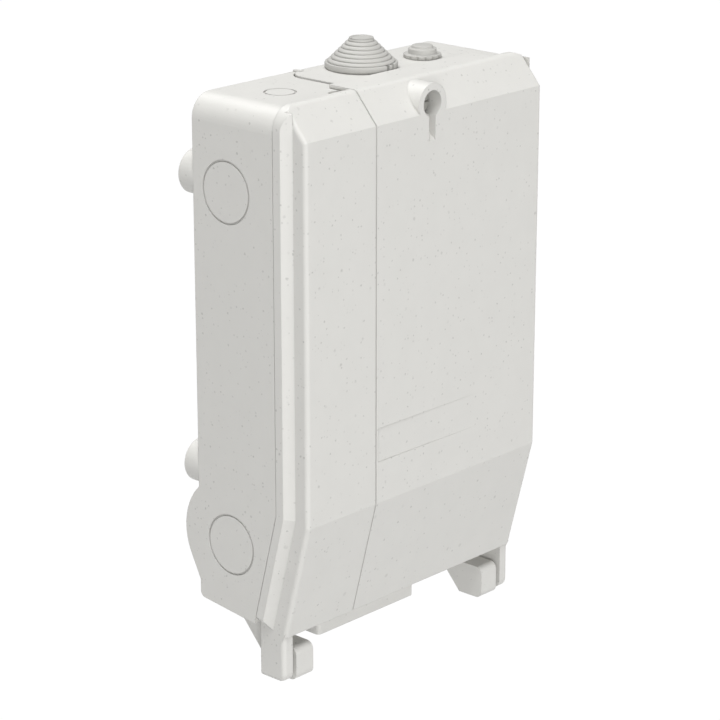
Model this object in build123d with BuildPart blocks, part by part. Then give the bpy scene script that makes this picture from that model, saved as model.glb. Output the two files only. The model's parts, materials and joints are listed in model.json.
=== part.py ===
from math import cos, radians, sin, sqrt, tan
import os

from build123d import *

os.makedirs("parts", exist_ok=True)

# Wall-hung service connection box, in millimetres.
# X runs to the right as the box is seen from the front, Y towards the wall and Z up.
# The origin is on the wall, in the middle of the four fixings. A depth is measured from the wall.

# Wall fixings
fixing_spacing_z = 191.0
fixing_hole_radius = 3.25
standoff_length = 13.0
standoff_radius = 14.5

# Rear housing
housing_width = 232.0
housing_wall = 4.0
housing_depth = 68.5
housing_top = 148.0
housing_bottom_rear = -183.0
housing_corner_radius = 15.0
housing_heel_radius = 4.0
rim_width = 7.5
rim_thickness = 6.0

# Lower part of box and cover, which leans back towards the wall
lean_angle = radians(14.4)
parting_kink_height = -110.0
parting_lower_length = 81.0

# Belly behind the lower cable entries
belly_height = -137.0
belly_depth = 41.0
belly_radius = 40.5
belly_heel_drop = 19.0
belly_heel_end = -171.5

# Front cover
cover_wall = 3.0
parting_gap = 0.4
rim_step = 2.5
rail_depth = 12.0
rail_chamfer = 5.5
pan_depth = 22.5
lower_pan_depth = 23.1
pan_edge_radius = 3.0
slope_run = 17.5
slope_drop = 20.0
slope_bend_radius = 5.0
flange_width = 8.5
seam_x = -48.0
seam_width = 1.0
seam_depth = 0.7
seam_top_depth = 0.5
tongue_right = 86.0
tongue_reach = 17.5
tongue_clearance = 0.35

# Label field, sunk into the front at its left and running out to the right
label_x = 4.5
label_width = 101.0
label_height = 22.5
label_top = -65.0
label_depth = 0.6

# Cable entries that can be knocked out
side_knockout_radius = 20.25
side_knockout_depth = 41.5
side_knockout_heights = (91.0, -140.0)
top_knockout_radius = 10.25
top_knockout_x = -75.0
top_knockout_depth = 48.6
knockout_groove_width = 1.2
knockout_groove_depth = 1.0

# Entry plate on top
plate_x = 20.0
plate_depth = 40.5
plate_width = 116.0
plate_length = 45.0
plate_rear_radius = 13.0
plate_front_radius = 4.0
plate_gap = 1.0
plate_seat_depth = 2.5
plate_thickness = 3.5
plug_ledge = 1.5
plug_wall = 2.0
plug_length = 6.0
plug_clearance = 0.4
plate_lug_x = -27.0
plate_lug_width = 3.0
plate_lug_reach = 3.5
plate_lug_overlap = 3.0
plate_lug_thickness = 1.5

# Large membrane gland
large_gland_x = 8.0
large_gland_depth = 39.5
large_gland_bore = 17.0
large_gland_flange_radius = 23.4
large_gland_flange_height = 4.2
large_gland_shoulder_radius = 21.4
large_gland_lower_rings = 3
large_gland_neck_radius = 16.6
large_gland_waist_radius = 14.8
large_gland_waist_height = 10.3
large_gland_upper_rings = 4
large_gland_top_radius = 8.1
large_gland_top_height = 19.6
large_gland_slot_angles = (0.0, 13.0)
gland_slot_width = 2.0
gland_slot_depth = 2.5
gland_skin = 1.5
gland_lip = 0.7
gland_lip_height = 2.0

# Small membrane gland
small_gland_inset = 20.0
small_gland_depth = 47.0
small_gland_bore = 10.25
small_gland_flange_radius = 12.35
small_gland_flange_height = 2.6
small_gland_disc_radius = 9.2
small_gland_disc_height = 6.2
small_gland_tip_radius = 6.8
small_gland_height = 8.0
small_gland_notches = 14
small_gland_notch_radius = 0.5

# Finger notch beside the cover's tongue
finger_notch_x = -52.5
finger_notch_depth = 74.5
finger_notch_length = 12.0
finger_notch_width = 6.0
finger_notch_sink = 1.8

# Captive cover screw
screw_x = 3.5
screw_below_top = 11.8
screw_boss_radius = 12.8
screw_recess_radius = 8.3
screw_floor_depth = 90.0
screw_floor_thickness = 3.0
screw_radius = 4.0
screw_head_radius = 6.5
screw_head_height = 5.0
screw_head_edge = 0.6
screw_slot_width = 1.6
screw_slot_depth = 2.2
screw_seal_hole_radius = 1.0
screw_tip_depth = 73.0
screw_hole_clearance = 0.6
screw_thread_clearance = 0.5
washer_thickness = 1.0
washer_radius = 7.2
washer_clearance = 0.05
seating_gap = 0.05
clip_depth = 79.7
clip_thickness = 0.8
clip_radius = 4.9
clip_relief = 0.4
clip_mouth = 3.0
clip_groove_depth = 0.6
insert_radius = 6.0
insert_front_depth = 79.0
insert_length = 12.0
insert_groove_width = 2.0
insert_groove_depth = 0.6
housing_screw_boss_radius = 8.5
keyhole_width = 6.0
keyhole_foot_height = 112.5
keyhole_sink = 6.0
keyhole_ramp = 5.0

# Hinge
pin_depth = 72.0
pin_height = -216.0
pin_radius = 2.5
pin_clearance = 0.05
pin_end_gap = 0.5
ear_width = 8.0
ear_reach = 10.3
ear_edge_radius = 3.0
ear_corner_radius = 6.0
ear_skin = 2.0
ear_slot_width = 4.6
knuckle_inner = 83.5
knuckle_width = 15.5
knuckle_front = 10.0
knuckle_above_pin = 10.5
knuckle_below_pin = 12.0
knuckle_corner_radius = 5.0
knuckle_skin = 2.5
bracket_root_depth = 20.0
bracket_web_depth = 60.4

# Bottom collar and its seal
collar_width = 94.0
collar_front = 52.0
collar_rear = 18.5
collar_bottom = -222.0
collar_wall = 3.0
collar_corner_radius = 3.0
seal_thickness = 5.0
seal_cone_pitch = 44.0
seal_cone_radius = 11.5
seal_root_radius = 10.5
seal_cone_rings = 4
seal_cone_rise = 12.0
seal_cone_top_radius = 4.0

# Gasket
gasket_inset = 2.0
gasket_width = 3.6
gasket_groove_depth = 3.0
gasket_stand = 0.1

# Three-pole fuse base
phase_pitch = 42.0
phase_centre = 30.0
phase_count = 3
base_pad_height = 6.0
base_pad_radius = 7.0
base_length = 152.0
base_thickness = 12.0
pedestal_inner = 25.5
pedestal_outer = 46.0
pedestal_width = 30.0
pedestal_height = 20.0
barrier_thickness = 2.5
barrier_height = 56.0
base_screw_offset = 70.0
base_screw_radius = 2.4
base_screw_head_radius = 4.2
base_screw_head_height = 3.5
base_screw_length = 16.0

# Contacts and fuse-links
contact_width = 20.0
contact_thickness = 3.0
contact_end = 62.0
jaw_start = 26.5
jaw_length = 14.0
jaw_height = 20.0
jaw_leaf = 2.0
jaw_flare = 2.5
knife_thickness = 6.0
knife_width = 15.0
knife_length = 13.5
knife_lift = 4.0
fuse_length = 46.0
fuse_width = 28.0
fuse_thickness = 34.0
fuse_edge_radius = 4.0
fuse_cap_thickness = 1.5
fuse_cap_margin = 1.0
lug_neck_width = 9.0
lug_head_width = 16.0
lug_neck_height = 5.0
lug_head_height = 3.0

# Frame clamps at the ends of the contacts
clamp_length = 13.0
clamp_middle = 54.5
clamp_wall = 2.6
clamp_height = 22.0
clamp_edge_radius = 2.0
clamp_clearance = 0.3
clamp_screw_radius = 3.0
clamp_screw_head_radius = 4.6
clamp_screw_head_height = 4.0
clamp_screw_length = 10.0
socket_radius = 2.3
socket_depth = 2.5

# Neutral and earth bar
bar_inset = 36.0
bar_width = 20.0
bar_thickness = 5.0
bar_length = 130.0
bar_post_height = 18.0
bar_post_radius = 8.0
bar_post_spacing = 110.0
bar_clamp_count = 3
bar_clamp_pitch = 28.0

# Strain relief for the incoming cable
saddle_height = belly_height
saddle_radius = 16.0
saddle_thickness = 3.0
saddle_width = 16.0
saddle_foot_end = 40.0
saddle_screw_x = 31.0
cradle_thickness = 14.0

# Sizes that follow from the ones above
half_width = housing_width / 2
fixing_spacing_x = housing_width - 2 * standoff_radius
bar_x = bar_inset - half_width
small_gland_x = plate_x + plate_width / 2 - small_gland_inset
floor_depth = standoff_length + housing_wall
parting_depth = standoff_length + housing_depth
front_depth = parting_depth + pan_depth
cover_rear_depth = parting_depth + parting_gap
cover_top = housing_top + rim_step
screw_height = housing_top - screw_below_top
pan_half_width = half_width - rail_chamfer
cavity_half_width = half_width - flange_width
cavity_top = housing_top - flange_width
slope_top_depth = front_depth - slope_run
slope_foot_height = cover_top - slope_drop
base_depth = floor_depth + base_pad_height
contact_depth = base_depth + pedestal_height
bar_depth = floor_depth + bar_post_height
phase_positions = [phase_centre + (index - 1) * phase_pitch for index in range(phase_count)]
base_screw_spacing = (phase_count - 1) * phase_pitch


def front_plane(depth, x=0.0, height=0.0):
    """Plane parallel to the wall at a depth, with its normal towards the front."""
    return Plane((x, -depth, height), x_dir=(1, 0, 0), z_dir=(0, -1, 0))


def side_outline(points):
    """Closed polygon in the side view, from (depth, height) pairs."""
    Polyline(*[(-depth, height) for depth, height in points], close=True)


def along_parting(forward, up):
    """Lower end of the parting line, moved forward across the line and up along it."""
    end_depth = parting_depth - parting_lower_length * sin(lean_angle)
    end_height = parting_kink_height - parting_lower_length * cos(lean_angle)
    depth = end_depth + forward * cos(lean_angle) + up * sin(lean_angle)
    return depth, end_height - forward * sin(lean_angle) + up * cos(lean_angle)


def parting_kink(forward):
    """Kink of the parting line, moved forward with both of its lines."""
    return parting_depth + forward, parting_kink_height - forward * tan(lean_angle / 2)


def lower_line_height(forward, depth):
    """Height at which the lower parting line, moved forward, reaches a depth."""
    end_depth, end_height = along_parting(forward, 0)
    return end_height + (depth - end_depth) / tan(lean_angle)


def housing_side_view(inset, forward):
    """Side view of the housing, shrunk by an inset and with its front edge moved forward."""
    heel_depth = belly_depth - sqrt(belly_radius**2 - belly_heel_drop**2)
    kink_depth, kink_height = parting_kink(forward)
    rear = standoff_length + inset
    with BuildSketch(Plane.YZ.offset(inset - half_width)) as side_view:
        with BuildLine():
            side_outline(
                [
                    (rear, housing_top - inset),
                    (kink_depth, housing_top - inset),
                    (kink_depth, kink_height),
                    along_parting(forward, inset),
                    (rear, housing_bottom_rear + inset),
                ]
            )
        make_face()
        radius = belly_radius - inset
        with BuildLine():
            upper_end = (-belly_depth, belly_height + radius)
            lower_end = (-belly_depth, belly_height - radius)
            ThreePointArc(upper_end, (radius - belly_depth, belly_height), lower_end)
            Line(lower_end, upper_end)
        make_face()
        if inset == 0:
            with BuildLine():
                side_outline(
                    [
                        (heel_depth, belly_height - belly_heel_drop),
                        (standoff_length, belly_heel_end),
                        (floor_depth, belly_height),
                    ]
                )
            make_face()
    return side_view.sketch


def rim_band(rear, front):
    """Band along the whole parting line, between two distances in front of it."""
    with BuildSketch(Plane.YZ.offset(-half_width)) as band:
        with BuildLine():
            side_outline(
                [
                    (parting_depth + rear, cover_top),
                    (parting_depth + front, cover_top),
                    parting_kink(front),
                    along_parting(front, 0),
                    along_parting(rear, 0),
                    parting_kink(rear),
                ]
            )
        make_face()
    return band.sketch


def rim_column(inset):
    """Column along the depth with the outline of the housing's rim, shrunk by an inset."""
    top = housing_top - inset
    bottom = along_parting(0, inset)[1]
    with BuildPart() as column:
        with BuildSketch(Plane.XZ):
            with Locations((0, (top + bottom) / 2)):
                RectangleRounded(2 * (half_width - inset), top - bottom, housing_corner_radius - inset)
        extrude(amount=2 * front_depth)
    return column.part


def rim_ring(outer_inset, width, rear, front):
    """Ring that follows the rim all round, between two distances in front of the parting line."""
    with BuildPart() as ring:
        add(rim_column(outer_inset))
        add(rim_column(outer_inset + width), mode=Mode.SUBTRACT)
        extrude(rim_band(rear, front), amount=housing_width, mode=Mode.INTERSECT)
    return ring.part


def knockout_ring(plane, radius):
    """Groove round a disc that can be knocked out of a wall."""
    with BuildPart() as ring:
        with BuildSketch(plane):
            Circle(radius)
            Circle(radius - knockout_groove_width, mode=Mode.SUBTRACT)
        extrude(amount=-knockout_groove_depth)
    return ring.part


def pin_plane(side, distance):
    """Plane across the hinge axis, at a distance to one side, with its normal outwards."""
    origin = (side * distance, -pin_depth, pin_height)
    return Plane(origin, x_dir=(0, side, 0), z_dir=(side, 0, 0))


def hinge_ear(side, root_height):
    """Ear of the cover on one side, with a socket for the pin that is open at the bottom."""
    front = pin_depth + ear_reach
    bottom = pin_height - ear_reach
    with BuildPart() as ear:
        with BuildSketch(Plane.YZ.offset(side * (pan_half_width - ear_width / 2))):
            with BuildLine():
                side_outline(
                    [
                        along_parting(1, cover_wall / 2),
                        along_parting(lower_pan_depth - 1, cover_wall / 2),
                        (front, root_height),
                        (front, bottom),
                        (pin_depth - ear_reach, bottom),
                        (pin_depth - ear_reach, root_height + cover_wall),
                    ]
                )
            make_face()
        extrude(amount=ear_width / 2, both=True)
        cross_edges = ear.edges().filter_by(Axis.X)
        fillet(cross_edges.sort_by_distance((0, -front, bottom))[0], ear_corner_radius)
        upright_edges = ear.edges().filter_by(Axis.Z)
        outer_edge = upright_edges.sort_by_distance((side * half_width, -front, pin_height))[0]
        fillet(outer_edge, ear_edge_radius)
        with BuildSketch(pin_plane(side, pan_half_width - ear_width)):
            Circle(pin_radius + pin_clearance)
            with Locations((0, -ear_reach)):
                Rectangle(ear_slot_width, 2 * ear_reach)
        extrude(amount=ear_width - ear_skin, mode=Mode.SUBTRACT)
    return ear.part


def plate_block(margin, bottom, height):
    """Upright block with the outline of the entry plate, grown by a margin."""
    with BuildPart() as block:
        with BuildSketch(Plane((plate_x, -plate_depth, bottom))) as outline:
            Rectangle(plate_width + 2 * margin, plate_length + 2 * margin)
            corners = outline.vertices().group_by(Axis.Y)
            fillet(corners[0], plate_front_radius + margin)
            corners = outline.vertices().group_by(Axis.Y)
            fillet(corners[-1], plate_rear_radius + margin)
        extrude(amount=height)
    return block.part


def collar_block(inset, bottom, height):
    """Upright block with the outline of the bottom collar, shrunk by an inset."""
    depth = (collar_front + collar_rear) / 2
    width = collar_width - 2 * inset
    length = collar_front - collar_rear - 2 * inset
    with BuildPart() as block:
        with BuildSketch(Plane((0, -depth, bottom))):
            RectangleRounded(width, length, collar_corner_radius - inset / 2)
        extrude(amount=height)
    return block.part


def stepped_cone(x, depth, foot, steps, root_radius, root_height, lip):
    """Hollow membrane of steps on a height, with a root below it; steps are (radius, top)."""
    outer = []
    inner = []
    last_top = 0
    bore = root_radius - gland_skin
    for radius, top in steps:
        outer += [(radius, last_top), (radius, top)]
        if radius - gland_skin < bore:
            inner.append((radius - gland_skin, last_top - gland_skin))
            inner.append((radius - gland_skin, top - gland_skin))
        last_top = top
    section = [(0, last_top), (0, last_top - gland_skin)]
    section += list(reversed(inner))
    section += [(bore, inner[0][1]), (bore, -root_height - lip), (root_radius, -root_height - lip)]
    if lip > 0:
        section += [(root_radius + gland_lip, -root_height), (root_radius, -root_height)]
    section += [(root_radius, 0)] + outer
    with BuildPart() as cone:
        with BuildSketch(front_plane(depth, x, foot)):
            with BuildLine():
                Polyline(*section, close=True)
            make_face()
        revolve(axis=Axis((x, -depth, foot), (0, 0, 1)))
    return cone.part


def ring_steps(first_radius, last_radius, foot, top, count):
    """Evenly spread steps of a cone, as (radius, top) pairs."""
    steps = []
    for index in range(count):
        radius = first_radius + (last_radius - first_radius) * index / (count - 1)
        steps.append((radius, foot + (top - foot) * (index + 1) / count))
    return steps


def socket_screw(plane, shank, length, head, head_height):
    """Socket-head screw with the underside of its head on a plane."""
    with BuildPart() as screw:
        with BuildSketch(plane):
            Circle(head)
        extrude(amount=head_height)
        with BuildSketch(plane):
            Circle(shank)
        extrude(amount=-length)
        with BuildSketch(plane.offset(head_height)):
            RegularPolygon(socket_radius, 6)
        extrude(amount=-socket_depth, mode=Mode.SUBTRACT)
    return screw.part


def clamp_frame(x, height, strip_depth):
    """Box-shaped clamp round a flat conductor, with a screw hole in its front."""
    outer_width = contact_width + 2 * (clamp_clearance + clamp_wall)
    rear = strip_depth - clamp_wall
    with BuildPart() as frame:
        with BuildSketch(Plane((x, -rear - clamp_height / 2, height - clamp_length / 2))):
            RectangleRounded(outer_width, clamp_height, clamp_edge_radius)
            Rectangle(
                outer_width - 2 * clamp_wall,
                clamp_height - 2 * clamp_wall,
                mode=Mode.SUBTRACT,
            )
        extrude(amount=clamp_length)
        with BuildSketch(front_plane(rear + clamp_height, x, height)):
            Circle(clamp_screw_radius)
        extrude(amount=-clamp_wall, mode=Mode.SUBTRACT)
    return frame.part


def clamp_screw(x, height, strip_depth):
    """Socket screw through the front of a clamp frame."""
    plane = front_plane(strip_depth - clamp_wall + clamp_height, x, height)
    head = clamp_screw_head_radius
    return socket_screw(plane, clamp_screw_radius, clamp_screw_length, head, clamp_screw_head_height)


def fixing_screw(depth, x, height):
    """Socket screw that holds a part to a post, with its head on a depth."""
    plane = front_plane(depth, x, height)
    head = base_screw_head_radius
    return socket_screw(plane, base_screw_radius, base_screw_length, head, base_screw_head_height)


def finish(part, name):
    """Names a piece and writes it."""
    part.label = name
    export_step(part, f"parts/{name}.step")


# Rear housing, with its hinge brackets, standoffs, collar and inner posts in one moulding
bracket_root_height = housing_bottom_rear + housing_wall / 2
collar_root = housing_bottom_rear - housing_wall
insert_rear_depth = insert_front_depth - insert_length
saddle_depth = (collar_front + collar_rear) / 2
cradle_rear_depth = belly_depth - belly_radius + housing_wall / 2
post_root_depth = floor_depth - housing_wall / 2

with BuildPart() as housing_hollow:
    extrude(housing_side_view(housing_wall, -rim_thickness), amount=2 * (half_width - housing_wall))
    top_corners = housing_hollow.edges().filter_by(Axis.Y).group_by(Axis.Z)[-1]
    fillet(top_corners, housing_corner_radius - housing_wall)

with BuildPart() as rim_opening:
    add(rim_column(rim_width))
    extrude(rim_band(-rim_thickness - 1, 1), amount=housing_width, mode=Mode.INTERSECT)

with BuildPart() as rear_housing:
    extrude(housing_side_view(0, 0), amount=housing_width)
    fillet(rear_housing.edges().filter_by(Axis.Y).group_by(Axis.Z)[-1], housing_corner_radius)
    cross_edges = rear_housing.edges().filter_by(Axis.X)
    heel_edge = cross_edges.sort_by_distance((0, -standoff_length, housing_bottom_rear))[0]
    fillet(heel_edge, housing_heel_radius)
    with BuildSketch(Plane.XZ):
        with GridLocations(fixing_spacing_x, fixing_spacing_z, 2, 2):
            Circle(standoff_radius)
    extrude(amount=floor_depth)
    add(collar_block(0, collar_bottom, collar_root - collar_bottom + 2 * housing_wall))
    for side in (-1, 1):
        with BuildSketch(Plane.YZ.offset(side * (knuckle_inner + knuckle_width / 2))):
            with BuildLine():
                side_outline(
                    [
                        (bracket_root_depth, bracket_root_height),
                        (pin_depth - knuckle_front, pin_height - knuckle_below_pin),
                        (pin_depth + knuckle_front, pin_height - knuckle_below_pin),
                        (pin_depth + knuckle_front, pin_height + knuckle_above_pin),
                        (bracket_web_depth, pin_height + knuckle_above_pin),
                        (bracket_web_depth, bracket_root_height - 2),
                    ]
                )
            make_face()
        extrude(amount=knuckle_width / 2, both=True)
    knuckle_face_y = -pin_depth - knuckle_front
    knuckle_edges = rear_housing.edges().filter_by(Axis.X).filter_by_position(
        Axis.Y, knuckle_face_y - 0.1, knuckle_face_y + 0.1
    )
    fillet(knuckle_edges, knuckle_corner_radius)
    add(housing_hollow.part, mode=Mode.SUBTRACT)
    add(rim_opening.part, mode=Mode.SUBTRACT)
    # Posts of the fuse base and of the bar, boss of the cover screw, cradle of the cable
    with BuildSketch(front_plane(post_root_depth, phase_centre)):
        with GridLocations(base_screw_spacing, 2 * base_screw_offset, 2, 2):
            Circle(base_pad_radius)
    extrude(amount=base_depth - post_root_depth)
    with BuildSketch(front_plane(post_root_depth, bar_x)):
        with GridLocations(0, bar_post_spacing, 1, 2):
            Circle(bar_post_radius)
    extrude(amount=bar_depth - post_root_depth)
    with BuildSketch(front_plane(insert_rear_depth - housing_wall, screw_x, screw_height)):
        Circle(housing_screw_boss_radius)
    extrude(amount=insert_length + housing_wall)
    with BuildSketch(Plane((0, 0, saddle_height - cradle_thickness / 2))):
        with Locations((0, -(cradle_rear_depth + saddle_depth) / 2)):
            Rectangle(2 * saddle_foot_end, saddle_depth - cradle_rear_depth)
        with Locations((0, -saddle_depth)):
            Circle(saddle_radius, mode=Mode.SUBTRACT)
    extrude(amount=cradle_thickness)
    # Seat of the entry plate, with a rim round its opening
    opening_margin = plug_clearance - plug_ledge
    rim_bottom = housing_top - plate_seat_depth - plug_length
    add(plate_block(opening_margin + plug_wall, rim_bottom, plug_length))
    add(plate_block(opening_margin, rim_bottom - 1, 2 * plug_length), mode=Mode.SUBTRACT)
    add(plate_block(plate_gap, housing_top - plate_seat_depth, plug_length), mode=Mode.SUBTRACT)
    # Passage through the bottom collar
    add(
        collar_block(collar_wall, collar_bottom, collar_root - collar_bottom + 4 * housing_wall),
        mode=Mode.SUBTRACT,
    )
    # Holes of the wall fixings, the cover screw's insert and the hinge pins
    with BuildSketch(Plane.XZ):
        with GridLocations(fixing_spacing_x, fixing_spacing_z, 2, 2):
            Circle(fixing_hole_radius)
    extrude(amount=floor_depth + 1, mode=Mode.SUBTRACT)
    with BuildSketch(front_plane(insert_rear_depth, screw_x, screw_height)):
        Circle(insert_radius)
    extrude(amount=insert_length, mode=Mode.SUBTRACT)
    with BuildSketch(front_plane(insert_front_depth, screw_x, screw_height)):
        Circle(clip_radius + 2 * clip_relief)
    extrude(amount=rim_thickness, mode=Mode.SUBTRACT)
    for side in (-1, 1):
        with BuildSketch(pin_plane(side, knuckle_inner + knuckle_skin)):
            Circle(pin_radius)
        extrude(amount=knuckle_width, mode=Mode.SUBTRACT)
    # Screw holes of the posts
    with BuildSketch(front_plane(base_depth, phase_centre)):
        with GridLocations(base_screw_spacing, 2 * base_screw_offset, 2, 2):
            Circle(base_screw_radius)
    extrude(amount=-(base_screw_length - base_thickness), mode=Mode.SUBTRACT)
    with BuildSketch(front_plane(bar_depth, bar_x)):
        with GridLocations(0, bar_post_spacing, 1, 2):
            Circle(base_screw_radius)
    extrude(amount=-(base_screw_length - bar_thickness), mode=Mode.SUBTRACT)
    with BuildSketch(front_plane(saddle_depth, 0, saddle_height)):
        with GridLocations(2 * saddle_screw_x, 0, 2, 1):
            Circle(base_screw_radius)
    extrude(amount=-(base_screw_length - saddle_thickness), mode=Mode.SUBTRACT)
    # Knockouts and the finger notch
    for height in side_knockout_heights:
        for side in (-1, 1):
            side_plane = Plane(
                (side * half_width, -side_knockout_depth, height),
                x_dir=(0, 1, 0),
                z_dir=(side, 0, 0),
            )
            add(knockout_ring(side_plane, side_knockout_radius), mode=Mode.SUBTRACT)
    top_plane = Plane((top_knockout_x, -top_knockout_depth, housing_top))
    add(knockout_ring(top_plane, top_knockout_radius), mode=Mode.SUBTRACT)
    with BuildSketch(Plane((finger_notch_x, -finger_notch_depth, housing_top))):
        SlotOverall(finger_notch_length, finger_notch_width)
    extrude(amount=-finger_notch_sink, mode=Mode.SUBTRACT)

finish(rear_housing.part, "rear_housing")

# Front cover: pan with a sloping top, side rails, rim, tongue, screw boss and hinge ears
cover_end = along_parting(lower_pan_depth, 0)
knee_height = lower_line_height(lower_pan_depth, front_depth)
inner_front_depth = front_depth - cover_wall
inner_forward = lower_pan_depth - cover_wall
slope_length = sqrt(slope_run**2 + slope_drop**2)
inner_slope_foot = slope_foot_height - (slope_length * cover_wall - slope_drop * cover_wall) / slope_run
inner_slope_top_depth = inner_front_depth - (cavity_top - inner_slope_foot) * slope_run / slope_drop

with BuildSketch(Plane.YZ) as pan_side:
    with BuildLine():
        side_outline(
            [
                (cover_rear_depth, cover_top),
                (slope_top_depth, cover_top),
                (front_depth, slope_foot_height),
                (front_depth, knee_height),
                cover_end,
                along_parting(parting_gap, 0),
                parting_kink(parting_gap),
            ]
        )
    make_face()

with BuildSketch(Plane.YZ) as cavity_side:
    with BuildLine():
        side_outline(
            [
                (parting_depth - 1, cavity_top),
                (inner_slope_top_depth, cavity_top),
                (inner_front_depth, inner_slope_foot),
                (inner_front_depth, lower_line_height(inner_forward, inner_front_depth)),
                along_parting(inner_forward, cover_wall),
                along_parting(rail_depth / 2, cover_wall),
                along_parting(rail_depth / 2, flange_width),
                along_parting(-1, flange_width),
                parting_kink(-1),
            ]
        )
    make_face()

with BuildPart() as rails:
    extrude(rim_band(parting_gap, rail_depth), amount=housing_width)
    side_edges = rails.edges().filter_by(Plane.YZ)
    front_edges = side_edges.sort_by_distance((half_width, -parting_depth - rail_depth, 0))[0:1]
    front_edges += side_edges.sort_by_distance((-half_width, -parting_depth - rail_depth, 0))[0:1]
    lower_depth, lower_height = along_parting(rail_depth, parting_lower_length / 2)
    front_edges += side_edges.sort_by_distance((half_width, -lower_depth, lower_height))[0:1]
    front_edges += side_edges.sort_by_distance((-half_width, -lower_depth, lower_height))[0:1]
    end_depth, end_height = along_parting(rail_depth / 2, 0)
    front_edges += side_edges.sort_by_distance((half_width, -end_depth, end_height))[0:1]
    front_edges += side_edges.sort_by_distance((-half_width, -end_depth, end_height))[0:1]
    chamfer(front_edges, rail_chamfer)
    with BuildSketch(Plane.XZ):
        Rectangle(2 * pan_half_width, 4 * cover_top)
    extrude(amount=2 * front_depth, mode=Mode.SUBTRACT)

with BuildPart() as seam_groove:
    extrude(pan_side.sketch, amount=seam_width / 2, both=True)
    moved_in = seam_groove.part.moved(Location((0, seam_depth, -seam_top_depth)))
    add(moved_in, mode=Mode.SUBTRACT)

with BuildPart() as front_cover:
    extrude(pan_side.sketch, amount=pan_half_width, both=True)
    bends = front_cover.edges().filter_by(Axis.X)
    fillet(bends.sort_by_distance((0, -slope_top_depth, cover_top))[0], slope_bend_radius)
    lower_depth, lower_height = along_parting(lower_pan_depth, parting_lower_length / 2)
    slope_depth = (front_depth + slope_top_depth) / 2
    slope_height = (cover_top + slope_foot_height) / 2
    edge_points = [(front_depth, 0), (lower_depth, lower_height), (slope_depth, slope_height)]
    for side in (-1, 1):
        side_edges = front_cover.edges().filter_by(Plane.YZ)
        rounded_edges = []
        for depth, height in edge_points:
            point = (side * pan_half_width, -depth, height)
            rounded_edges += side_edges.sort_by_distance(point)[0:1]
        fillet(rounded_edges, pan_edge_radius)
    add(rails.part)
    with BuildSketch(front_plane(0, 0, -parting_lower_length)):
        cover_height = cover_top + parting_lower_length
        RectangleRounded(housing_width, 2 * cover_height, housing_corner_radius)
    extrude(amount=2 * front_depth, mode=Mode.INTERSECT)
    extrude(cavity_side.sketch, amount=cavity_half_width, both=True, mode=Mode.SUBTRACT)
    # Tongue that laps over the housing's top
    tongue_left = seam_x + seam_width / 2
    with BuildSketch(Plane((0, 0, housing_top + tongue_clearance))):
        with Locations(((tongue_left + tongue_right) / 2, tongue_reach / 2 - cover_rear_depth)):
            Rectangle(tongue_right - tongue_left, tongue_reach + 1)
    extrude(amount=rim_step - tongue_clearance)
    # Boss of the captive screw and trough of its keyhole
    floor_rear_depth = screw_floor_depth - screw_floor_thickness
    with BuildSketch(front_plane(floor_rear_depth, screw_x, screw_height)):
        Circle(screw_boss_radius)
    extrude(amount=front_depth - floor_rear_depth)
    trough_depth = front_depth - keyhole_sink
    trough_height = screw_height - keyhole_foot_height + cover_wall
    with BuildSketch(
        front_plane(trough_depth - cover_wall, screw_x, screw_height - trough_height / 2)
    ):
        Rectangle(keyhole_width + 2 * cover_wall, trough_height)
    extrude(amount=keyhole_sink)
    with BuildSketch(front_plane(screw_floor_depth, screw_x, screw_height)):
        Circle(screw_recess_radius)
    extrude(amount=front_depth, mode=Mode.SUBTRACT)
    with BuildSketch(Plane.YZ.offset(screw_x)):
        with BuildLine():
            side_outline(
                [
                    (trough_depth, screw_height),
                    (trough_depth, keyhole_foot_height + keyhole_ramp),
                    (front_depth, keyhole_foot_height),
                    (front_depth + 1, keyhole_foot_height),
                    (front_depth + 1, screw_height),
                ]
            )
        make_face()
    extrude(amount=keyhole_width / 2, both=True, mode=Mode.SUBTRACT)
    with BuildSketch(front_plane(parting_depth - 1, screw_x, screw_height)):
        Circle(clip_radius + clip_relief)
    extrude(amount=floor_rear_depth - parting_depth + 1, mode=Mode.SUBTRACT)
    with BuildSketch(front_plane(floor_rear_depth, screw_x, screw_height)):
        Circle(screw_radius + screw_hole_clearance)
    extrude(amount=screw_floor_thickness, mode=Mode.SUBTRACT)
    # Hinge ears
    for side in (-1, 1):
        add(hinge_ear(side, cover_end[1]))
    # Gasket groove, moulded seam and label field
    add(
        rim_ring(gasket_inset, gasket_width, 0, parting_gap + gasket_groove_depth),
        mode=Mode.SUBTRACT,
    )
    add(seam_groove.part.moved(Location((seam_x, 0, 0))), mode=Mode.SUBTRACT)
    label_left = label_x - label_width / 2
    with BuildSketch(Plane.XY.offset(label_top)):
        with BuildLine():
            Polyline(
                (label_left, -front_depth),
                (label_left + label_width, -front_depth),
                (label_left, -front_depth + label_depth),
                close=True,
            )
        make_face()
    extrude(amount=-label_height, mode=Mode.SUBTRACT)

finish(front_cover.part, "front_cover")

with BuildPart() as cover_gasket:
    add(
        rim_ring(
            gasket_inset,
            gasket_width,
            parting_gap - gasket_stand,
            parting_gap + gasket_groove_depth,
        )
    )

finish(cover_gasket.part, "cover_gasket")

# Captive screw with its washer, clip and insert
head_depth = screw_floor_depth + washer_thickness + 2 * seating_gap
head_plane = front_plane(head_depth, screw_x, screw_height)

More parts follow.
